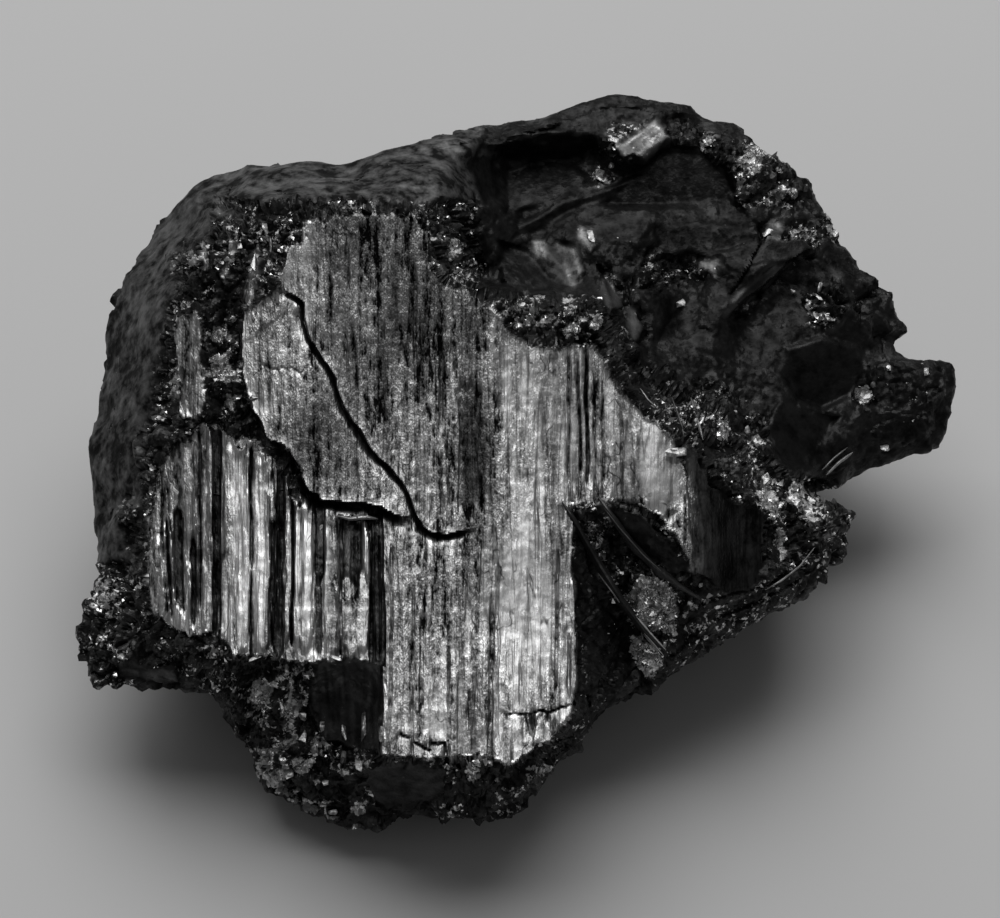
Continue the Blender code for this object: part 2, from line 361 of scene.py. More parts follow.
MIDDLE_OUTLINE: Outline = (
    (-25.7, 14.7), (-22.4, 17.5), (-20, 15.9), (-19.2, 12.4), (-16, 5.9), (-12.9, 0.9), (-9.8, -2.5),
    (-7.9, -6.8), (-9.5, -5.9), (-12, -4.8), (-16, -4.3), (-18, -4), (-20, -1.6), (-21.5, 1.2),
    (-23.8, 3.4), (-25.5, 4.9),
)


@dataclass(frozen=True)
class Scarp:
    """A ledge whose low side rises back to the plain face away from it.

    Attributes:
        line: the ledge's edge; its high side is to the left of the run.
        drop: the height of the step, in millimetres.
        reach: how far from the edge the low side takes to rise back.
        start_fade, end_fade: lengths over which the step grows and dies out.
        lip: how far the high side's edge curls up; it also sets the painted highlight on that edge.
        gap: how deep a seam runs along the step's foot; it also sets the painted shade in it.
        width: the seam's width.
    """

    line: Outline
    drop: float
    reach: float = 3.0
    start_fade: float = 1.0
    end_fade: float = 1.0
    lip: float = 0.0
    gap: float = 0.0
    width: float = 0.28

    # How far the edge wobbles, how wide its lip is, and the lip and seam at which the painted
    # highlight on the edge and the painted shade in the seam show in full.
    WOBBLE = 0.12
    LIP_WIDTH = 0.45
    FULL_LIP = 0.16
    FULL_GAP = 0.3

    def relief(self, right: Array, up: Array, noise: Noise) -> Array:
        """The ledge's height over the plain skin, in millimetres.

        Args:
            right, up: the places, in millimetres.
            noise: what the ledge's wobble is drawn from.

        Returns:
            One height for each place.
        """
        relief = np.zeros(len(right))
        margin = 3 * self.reach
        low = np.min(self.line, axis=0) - margin
        high = np.max(self.line, axis=0) + margin
        near = (right > low[0]) & (right < high[0]) & (up > low[1]) & (up < high[1])
        x, y = right[near], up[near]
        spots = np.stack([x, y], axis=1)
        x = x + self.WOBBLE * noise.swell(spots / 0.8, 61)
        y = y + self.WOBBLE * noise.swell(spots / 0.8, 62)
        side, along = beside(self.line, x, y)
        foot = ramp(-side, -0.05, 0.08)
        beyond = np.maximum(-side, 0)
        fall = -self.drop * foot * np.exp(-beyond / self.reach)
        curl = self.lip * (1 - foot) * np.exp(-np.maximum(side, 0) / self.LIP_WIDTH)
        width = self.width * (1 + 0.5 * noise.swell(spots / 1.7, 63))
        seam = -self.gap * foot * np.exp(-((beyond / width) ** 2))
        relief[near] = self.strength(along) * (fall + curl + seam)
        return relief

    def strength(self, along: Array) -> Array:
        """How fully grown the step is at each length along its edge, from 0 to 1."""
        length = sum(math.dist(a, b) for a, b in zip(self.line, self.line[1:]))
        return ramp(along, 0, self.start_fade) * ramp(length - along, 0, self.end_fade)

    def painted_shine(self, right: Array, up: Array) -> Array:
        """Painted brightness at the ledge: a painted highlight on the edge, painted shade in the seam.

        Args:
            right, up: the places, in millimetres.

        Returns:
            One share for each place.
        """
        side, along = beside(self.line, right, up)
        edge = ramp(side, -0.1, 0.02) * ramp(-side, -0.5, -0.1) * min(self.lip / self.FULL_LIP, 1)
        foot = ramp(-side, -0.02, 0.06) * ramp(side, -1.5 * self.width, -0.7 * self.width)
        seam = foot * min(self.gap / self.FULL_GAP, 1)
        return 1 + self.strength(along) * (0.5 * edge - 0.97 * seam)


@dataclass(frozen=True)
class Flute:
    """A flat-topped ridge along the fibres, or a groove if its height is negative."""

    middle: float
    half_width: float
    low: float
    high: float
    height: float

    def relief(self, fibre: Array, up: Array, noise: Noise) -> Array:
        """The flute's height over the plain face, in millimetres.

        Args:
            fibre: which fibre each point lies on.
            up: how far up each point lies.
            noise: what the flute's wobble is drawn from.

        Returns:
            One height for each point.
        """
        relief = np.zeros(len(fibre))
        reach = self.half_width + 0.6
        near = (np.abs(fibre - self.middle) < reach) & (up > self.low - 3) & (up < self.high + 3)
        f, y = fibre[near], up[near]
        name = np.full(len(f), self.middle * 3.1)
        middle = self.middle + 0.13 * noise.swell(np.stack([y / 3.1, name], axis=1), 64)
        half = self.half_width * (1 + 0.22 * noise.swell(np.stack([y / 2.3, name], axis=1), 65))
        across = ramp(half - np.abs(f - middle), -0.10, 0.10)
        frayed = 0.9 * noise.stretched(f, y, 0.35, 4.0, 66)
        taper = 0.7 * np.abs(f - middle) / self.half_width
        along = ramp(y + frayed - taper, self.low - 0.5, self.low + 0.7)
        along *= 1 - ramp(y + frayed + taper, self.high - 0.7, self.high + 0.5)
        relief[near] = self.height * across * along
        return relief


@dataclass(frozen=True)
class Facet:
    """A flat break.

    Attributes:
        outline: its corners.
        painted_gleam: how bright it is painted, from 0 to 1: painted highlight where high, painted shade
            where low.
        lean_right, lean_up: how much more it rises to the right and up than the ground it cuts.
        grit: how granular it is, from 0 to 1.
        lift: how far it stands over the ground, in millimetres.
        flat: how far the ground is levelled to a plane, from 0 to 1.
    """

    outline: Outline
    painted_gleam: float
    lean_right: float = 0.0
    lean_up: float = 0.0
    grit: float = 0.1
    lift: float = 0.0
    flat: float = 1.0

    def brushed(self, right: Array, up: Array, noise: Noise, channel: int) -> Array:
        """Streaks along the break's long way, from -1 to 1.

        Args:
            right, up: the places, in millimetres.
            noise: what the streaks are drawn from.
            channel: which streaks to draw.

        Returns:
            One number for each place.
        """
        corners = np.array(self.outline)
        way = np.linalg.svd(corners - corners.mean(axis=0))[2][0]
        across, along = up * way[0] - right * way[1], right * way[0] + up * way[1]
        return noise.stretched(across, along, 0.3, 2.2, channel)


@dataclass(frozen=True)
class Smear:
    """An oval patch of the seen side painted lighter or darker than the rest, as highlight or shade.

    Attributes:
        right, up: the patch's middle, in millimetres.
        half_width, half_height: where the patch has faded out.
        painted_shine: how much lighter or darker it is painted in the middle, as a share.
        turn: how far the oval is turned, in degrees, to the left.
    """

    right: float
    up: float
    half_width: float
    half_height: float
    painted_shine: float
    turn: float = 0.0

    def weight(self, right: Array, up: Array) -> Array:
        """1 in the patch's middle, 0 outside it.

        Args:
            right, up: the places, in millimetres.

        Returns:
            One share for each place.
        """
        angle = math.radians(self.turn)
        x, y = right - self.right, up - self.up
        along = x * math.cos(angle) + y * math.sin(angle)
        across = y * math.cos(angle) - x * math.sin(angle)
        return 1 - ramp(np.hypot(along / self.half_width, across / self.half_height), 0.25, 1.0)


UPPER_SHEET_EDGE = Scarp(
    ((-22.2, 17.6), (-21.5, 16.7), (-20.2, 16.1), (-19.6, 15.7), (-19.5, 13.9), (-19, 11.9),
     (-18.2, 10.7), (-17.2, 9.4), (-16.5, 8.1), (-15.9, 5.9), (-15, 4.1), (-14, 2.9), (-13, 1.2),
     (-11.8, -0.1), (-10.8, -1.1), (-9.8, -2.3), (-9, -3.8), (-8.5, -5.3), (-7.8, -6.7), (-6.8, -7.3),
     (-5.2, -7.6), (-3.5, -7.2), (-2, -7)),
    drop=0.35, reach=4, start_fade=2.5, end_fade=3, lip=0.12, gap=0.9, width=0.42,
)
MIDDLE_SHEET_EDGE = Scarp(
    ((-25.1, 16.3), (-25.7, 14.7), (-25.8, 11.9), (-25.7, 8.9), (-25.2, 5.9), (-23.8, 3.4), (-23.2, 1.9),
     (-21.5, 1.2), (-20.5, -0.1), (-19.8, -1.9), (-19.2, -3.1), (-18, -4), (-16, -4.3), (-13.5, -4.4),
     (-12, -4.8), (-10.5, -5.6), (-9.5, -5.9), (-8.7, -5.5)),
    drop=1, reach=3, start_fade=3, end_fade=2.5, lip=0.16, gap=1.3, width=0.75,
)
APRON_BREAK = Scarp(
    ((-0.3, -24.7), (0.5, -25.5), (1.5, -25.3), (2.7, -25.6), (4, -25), (4.9, -25.2), (6, -24.8),
     (7.4, -24.5)),
    drop=0.2, reach=1.5, start_fade=2, gap=0.3, width=0.13,
)
CHIP_LEFT = Scarp(((2.4, -25.5), (2.9, -26.7), (3.1, -28.3)), drop=0.2, reach=0.5, gap=0.2, width=0.12)
CHIP_RIGHT = Scarp(((4.6, -25), (3.8, -26.3), (3.2, -28.5)), drop=0.2, reach=0.5, gap=0.2, width=0.12)
APRON_CRACKS = tuple(
    Scarp(line, drop=0.25, reach=0.6, start_fade=0.3, end_fade=0.3, gap=0.35, width=0.16)
    for line in (
        ((-10.1, -27.2), (-9.6, -27.6), (-8.9, -27.8)),
        ((-8.7, -28.2), (-7.8, -28.7), (-6.8, -29.1)),
        ((-7.1, -28.2), (-6.2, -28.4), (-5.4, -28.2), (-5.2, -29.8)),
    )
)
CURL = Scarp(
    ((-16.2, -5.6), (-15, -5.9), (-13.8, -5.8), (-12.3, -6.1)),
    drop=0.5, reach=1.2, lip=0.3, gap=0.3,
)
MIDDLE_SCRATCH = Scarp(
    ((-24.2, 9.7), (-22.5, 8.9), (-21, 9.3), (-20, 8.7), (-18.8, 9.7)),
    drop=0.05, reach=1, gap=0.16, width=0.12,
)
UPPER_LAMINA = Scarp(
    ((16.8, -7.1), (15.5, -5.8), (14, -5), (12.2, -4.6), (10.7, -4.4)),
    drop=0.5, reach=2, lip=0.15, gap=0.3,
)
LAYERS = tuple(
    Scarp(line, drop=0.25, reach=1.6, start_fade=4, end_fade=4, lip=0.1, gap=0.15, width=0.25)
    for line in (
        ((31.2, -8.6), (30, -9.8), (27.8, -12.3), (25, -13.3), (22.2, -13.9), (20, -14.7), (17.2, -15.9)),
        ((33.5, -8.6), (31.5, -11.2), (28.5, -13.1), (25.5, -14.5), (22.2, -15.9), (20, -17.3),
         (18.2, -19.1), (16.2, -20.9)),
        ((34.6, -6.1), (32.8, -8.1), (30.8, -9.9), (29, -11.3)),
    )
)
BLADE_RIDGE = Scarp(
    ((22.2, 13.7), (24.2, 15.7), (26.5, 17.5), (28.8, 19.7), (31.2, 21.2)),
    drop=0.6, reach=3, lip=0.3, gap=0.1,
)
BLADE_STEP = Scarp(
    ((22.8, 16.1), (24.5, 18.9), (25.7, 21.1), (26.4, 22.3)),
    drop=0.4, reach=2.5, lip=0.2, gap=0.1,
)
SCARPS = (
    UPPER_SHEET_EDGE, MIDDLE_SHEET_EDGE, APRON_BREAK, CHIP_LEFT, CHIP_RIGHT, CURL, MIDDLE_SCRATCH,
    UPPER_LAMINA, BLADE_RIDGE, BLADE_STEP, *APRON_CRACKS, *LAYERS,
)

# The ridged lower left, from left to right; the middle sheet lies over their upper ends.
RIDGES = tuple(Flute(*row) for row in (
    (-34.2, 0.6, -16, -8, 0.35), (-33.45, 0.1, -16, -6.5, -0.5), (-33.2, 0.18, -12.5, -6.5, 0.45),
    (-32.95, 0.12, -15.5, -6.5, -0.6), (-32.65, 0.18, -15.5, -6.3, 0.45), (-32, 0.4, -15.5, -4.5, -0.8),
    (-31, 0.72, -8.5, 4.5, 0.35), (-31.2, 0.27, -17.3, -10.5, 0.4), (-30.6, 0.28, -16.5, -8.5, -0.7),
    (-30.2, 0.2, -14.5, -3, 0.35), (-29.85, 0.14, -14.5, 3, -0.5), (-29.5, 0.2, -16.5, -10, 0.2),
    (-28.95, 0.27, -7, 2.5, 0.35), (-28.3, 0.4, -19.5, 4, -1.2), (-28.1, 0.16, -19.6, -15, 1.2),
    (-26.45, 1.4, -19.9, 2, 0.35), (-26.4, 0.08, -19, 1, -0.35), (-26.1, 0.06, -12, 1.5, -0.3),
    (-25.4, 0.08, -19, 0.5, -0.4), (-24.85, 0.14, -20, 1, -0.8), (-23.8, 0.72, -19.6, 0.4, 0.35),
    (-22.85, 0.35, -8, 0, 0.35), (-22.3, 0.68, -19.6, -6, -0.9), (-21.9, 0.4, -7.5, -1, -1.1),
    (-22.6, 0.09, -18, -5, 0.75), (-22.15, 0.07, -17, -3, 0.8), (-21.25, 0.33, -17.8, -2.2, 0.3),
    (-20.75, 0.14, -19, -3.5, -0.8), (-19.6, 1, -18.8, -3.8, 0.35), (-19.9, 0.06, -18, -6, -0.25),
    (-18.05, 0.48, -12, -4, -0.9), (-18.1, 0.3, -20, -11, -0.4), (-16.85, 0.68, -20.2, -5.2, 0.3),
    (-15.95, 0.12, -20, -6, -0.5), (-14.75, 0.95, -12.2, -5.8, -1), (-13.45, 0.24, -12.2, -5.8, 0.35),
    (-14.7, 1.45, -19.8, -12.6, 0.3), (-12.4, 0.75, -31, -4.5, -0.9), (-12.7, 0.08, -27, -6, 0.75),
    (-12.1, 0.07, -20, -7, 0.7),
))

# Grooves of the apron and the sheets.
FLUTES = tuple(Flute(*row) for row in (
    (-11, 0.13, -30, -9, -0.25), (-8.7, 0.1, -30, -12, -0.15), (-0.9, 0.24, -31, -14, -0.26),
    (-0.3, 0.1, -28, -6, -0.15), (-3, 1.1, -5.5, 8, -0.18), (5.6, 0.12, -24, -9, -0.2),
    (6.9, 0.1, -4.6, 11, -0.2), (8, 0.12, -5, 10, -0.2), (8.7, 0.15, -3, 11.5, -0.28),
    (9.5, 0.08, -5, 9, -0.18), (10.3, 0.1, -5, 8, -0.2), (12.2, 0.1, -4.6, 5, -0.13),
    (6.85, 0.14, -24.5, -17, 0.25), (3.2, 0.3, -27.3, -25.2, -0.5), (4.6, 0.26, -26.4, -25, -0.5),
    (-5.8, 0.2, 3, 12, -0.2), (-8.4, 0.16, 8, 20, -0.15),
))

# Highlight and shade painted on the polished fibres, as shares of the plain brightness.
PAINTED_SHEENS = tuple(Smear(*row) for row in (
    (-12.8, 13.9, 12, 19, 0.4, -15), (-7, 16.9, 6, 9, 0.7), (-15.5, 21.4, 4.5, 4, 0.55),
    (-14, 24.1, 11, 2.2, 0.5), (-18.8, 20.9, 2.5, 5.5, 1.2), (-19.8, 13.4, 1.6, 4, 1.5),
    (-18, 0.9, 8.5, 8.5, 0.3), (-23.5, 10.9, 3, 7.5, 0.55), (-13, -2.1, 4, 3, 0.65),
    (-6, 1.9, 6, 10, 0.75), (-3, 15.9, 4, 5, 0.7), (-2, -4.1, 4, 4, 0.65), (-5, -7.1, 5, 2.5, 0.75),
    (9, -3.3, 2.4, 1.2, 0.55), (11.2, -4.4, 6.5, 0.9, 0.5), (17.5, -5.6, 1.3, 1.5, 0.3),
    (-13.5, -3.3, 4, 1.2, 0.6), (16, -2.1, 2.6, 8, 1.6), (-22.4, 11.1, 1.9, 1.5, 1.35),
    (-24, 6.1, 1.9, 2.2, 1.4), (-31, 10.4, 3, 7, 1.1), (-2.4, 0.9, 3.6, 12, 0.15),
    (-23.5, -10.1, 12, 12, 1.22), (-3, 10.9, 1.8, 6, 0.6), (-2.4, 12.9, 3, 5.5, 0.5),
    (-10.5, 15.9, 0.7, 9, 0.4), (-11.6, 7.9, 0.5, 8, 0.4), (-7.8, 9.9, 0.6, 8, 0.45),
    (-32.2, -1.1, 2.5, 4.5, 0.7), (-33.5, -10.1, 2.5, 8, 0.8), (-25.2, -9.1, 2.6, 12, 1.8),
    (-19.8, -11.6, 1.4, 8, 1.5), (-14.6, -15.6, 1.6, 4, 1.05), (-14.6, -12.9, 3.4, 2.4, 0.35),
    (-10.5, -8.6, 2.4, 3.2, 0.5), (-26.8, -9.1, 1.2, 8, 0.6), (-34, -3.1, 2, 4, 0.6),
    (-30.5, 2.9, 1.5, 3.5, 1.4), (-9.5, -4.1, 1.8, 8, 0.6), (-9.5, -16.1, 2.6, 14, 0.65),
    (-6.4, -16.1, 3, 11, 0.65), (-4, -10.1, 4, 5, 0.7), (-8.8, -28.5, 3.5, 1.8, 0.4),
    (-6.3, -28.7, 1.6, 1.4, 0.45), (-1.5, -19.6, 2.5, 4, 0.8), (-3.8, -25.6, 1.6, 4.5, 1.25),
    (3, -13.1, 3.6, 15, 1.5), (2, 4.9, 3.5, 8, 1.1), (6.5, 3.9, 3, 8, 1.22), (15, 0.9, 4.5, 7, 1.12),
    (18.4, -8.1, 1.6, 4, 0.6), (5, -23.1, 3, 3, 0.9), (22.9, -6.1, 1.5, 9, 0.4), (26.5, -7.1, 2, 6, 1.6),
))

# The crumbly break between the sheets and the ridges.
BREAK_OUTLINE: Outline = (
    (-34, 8.7), (-32.2, 7.4), (-30, 7.4), (-26.4, 6.1), (-25.4, 5.9), (-23.8, 3.1), (-22.8, 1.7),
    (-21, 0.4), (-19.8, -2.5), (-18.8, -3.7), (-20.4, -4.1), (-21.6, -1.7), (-22.4, 0.1), (-24.8, 1.1),
    (-26.8, 2.3), (-28.5, 2.9), (-29.5, 4.6), (-31.5, 5.1), (-34, 3.9),
)

# Slivers of the face that stand beside it, past the break.
SLIVERS: tuple[Outline, ...] = (
    ((-32.2, 14.3), (-30.3, 14.7), (-29.9, 12.7), (-29.9, 9.1), (-29.4, 6.7), (-29.7, 4.7), (-31.4, 3.9),
     (-32.4, 6.5), (-32.2, 9.1), (-32.5, 11.3), (-32.9, 12.2)),
    ((-24.4, 21.5), (-24.2, 19.5), (-24.2, 16), (-25, 15.5), (-25.8, 15.6), (-25.6, 17.5), (-25, 19.6)),
    ((-22.5, 18), (-22.2, 16.7), (-21.6, 15.8), (-21.7, 15.2), (-23, 15.3), (-23.2, 16.2), (-22.7, 16.9)),
    ((-29.7, 21.6), (-29.1, 20.7), (-28.8, 19.1), (-29.4, 19.1)),
    ((-27.6, 19.7), (-27.2, 19.5), (-27.4, 18.3), (-27.9, 18.1)),
    ((-27, 22.1), (-26.6, 21.7), (-26.7, 20.5), (-27.1, 20.9)),
    ((-30.8, 21.7), (-30.2, 20.1), (-30.4, 19.1), (-31.3, 19.1)),
    ((-23, 22.1), (-22.7, 21.9), (-22.7, 20.1), (-23, 20.1)),
)

# Where glints are painted on the broken stone, and how densely.
PAINTED_GLINTS = tuple(Smear(*row) for row in (
    # the tip, the pocket and the ground above them
    (27.2, -3.1, 2.8, 3.4, 0.8, 25), (30.1, -4.3, 2.3, 3.1, 0.7, 30), (27.8, -8.9, 1.8, 2.8, 0.8),
    (15.4, -14.7, 3.4, 3.4, 1.5), (17.2, -16.3, 3.5, 3, 0.8), (14.5, -19.6, 2.8, 2.4, 1.4, 40),
    (13.2, -22.1, 2.5, 2.5, 0.8), (10, -23.1, 2.5, 2, 0.5), (25.7, 2.9, 3.2, 2.2, 0.85),
    (22.8, 3.1, 1.6, 1.3, 0.8), (20.5, 5.9, 6, 3, 0.4), (5.6, 14.3, 6, 3, 0.75),
    (9.2, 13.3, 1.6, 2.4, 0.9), (11.8, 6.4, 3, 5, 0.45, 40), (-4.5, 21.4, 3.2, 5, 0.65),
    (13, -6.6, 3.5, 1.8, 0.55, -30), (10, -8.6, 1.2, 4, 0.5, 25),
    # the lower left, from the foot to the bottom
    (-21, -30.3, 4.5, 5.5, 0.85, -30), (-17, -34.7, 5, 2.2, 0.65), (-23.5, -23.1, 3, 3, 0.65),
    (-2, -31.3, 3.8, 2.4, 0.65), (4.5, -30.6, 3, 1.6, 0.4), (-14.5, -32.1, 2.5, 3, 0.6),
    (-20, -24.1, 2.5, 4.5, 0.65), (-39.2, -13.9, 2.2, 3.2, 0.45), (-34, -18.1, 6, 2.5, 0.4),
    (-28.5, -20.1, 3.5, 2, 0.4), (-39, -19.1, 3, 3, 0.4),
    # the left edge and the top left
    (-35, 0.4, 2, 6, 0.5), (-37.2, -6.1, 1.6, 5, 0.35), (-31.4, 9.7, 2.1, 7, 0.6),
    (-27.8, 9.4, 2.6, 7.5, 0.9), (-27.5, 4.7, 5, 1.6, 0.4, -20), (-22.5, -1.1, 3, 1.2, 0.3, -45),
    (-23.8, 18.9, 2.4, 6, 0.35), (-30, 19.7, 4.2, 3.4, 0.35), (-27, 21.9, 3, 3.5, 0.35),
    (-20, 25.2, 4, 1.2, 0.4), (-13, 25.6, 11, 1, 0.35), (-26.5, 25.4, 5, 1.2, 0.3),
    # the block
    (32.5, 15.4, 3, 3.6, 0.6, -40), (27, 28.4, 6, 4.4, 0.75, -35), (23.5, 29.4, 2.8, 2.2, 0.6, -40),
    (21.6, 30.9, 3.2, 1.5, 0.8, -35), (24.6, 26.9, 1.8, 2.8, 0.7, 15), (18.6, 32.9, 2.4, 1.8, 0.6),
    (36.5, 6.4, 2, 1.5, 0.75), (16, 19.1, 8, 2.8, 0.35), (10, 28.2, 1.6, 1.3, 0.7),
    (11.5, 16.9, 2.2, 4, 0.5, 20), (13.6, 13.7, 1.8, 3, 0.45, 20), (30, 21.9, 2.8, 2.8, 0.5),
    (38, 14.9, 3, 4, 0.6, 30), (26.5, 22.7, 1.6, 1.2, 0.5, 30), (33.5, 23.4, 2, 3, 0.6, 30),
    (26, 16.9, 5, 1.6, 0.25, 40), (12, 30.9, 3, 2, 0.3),
))

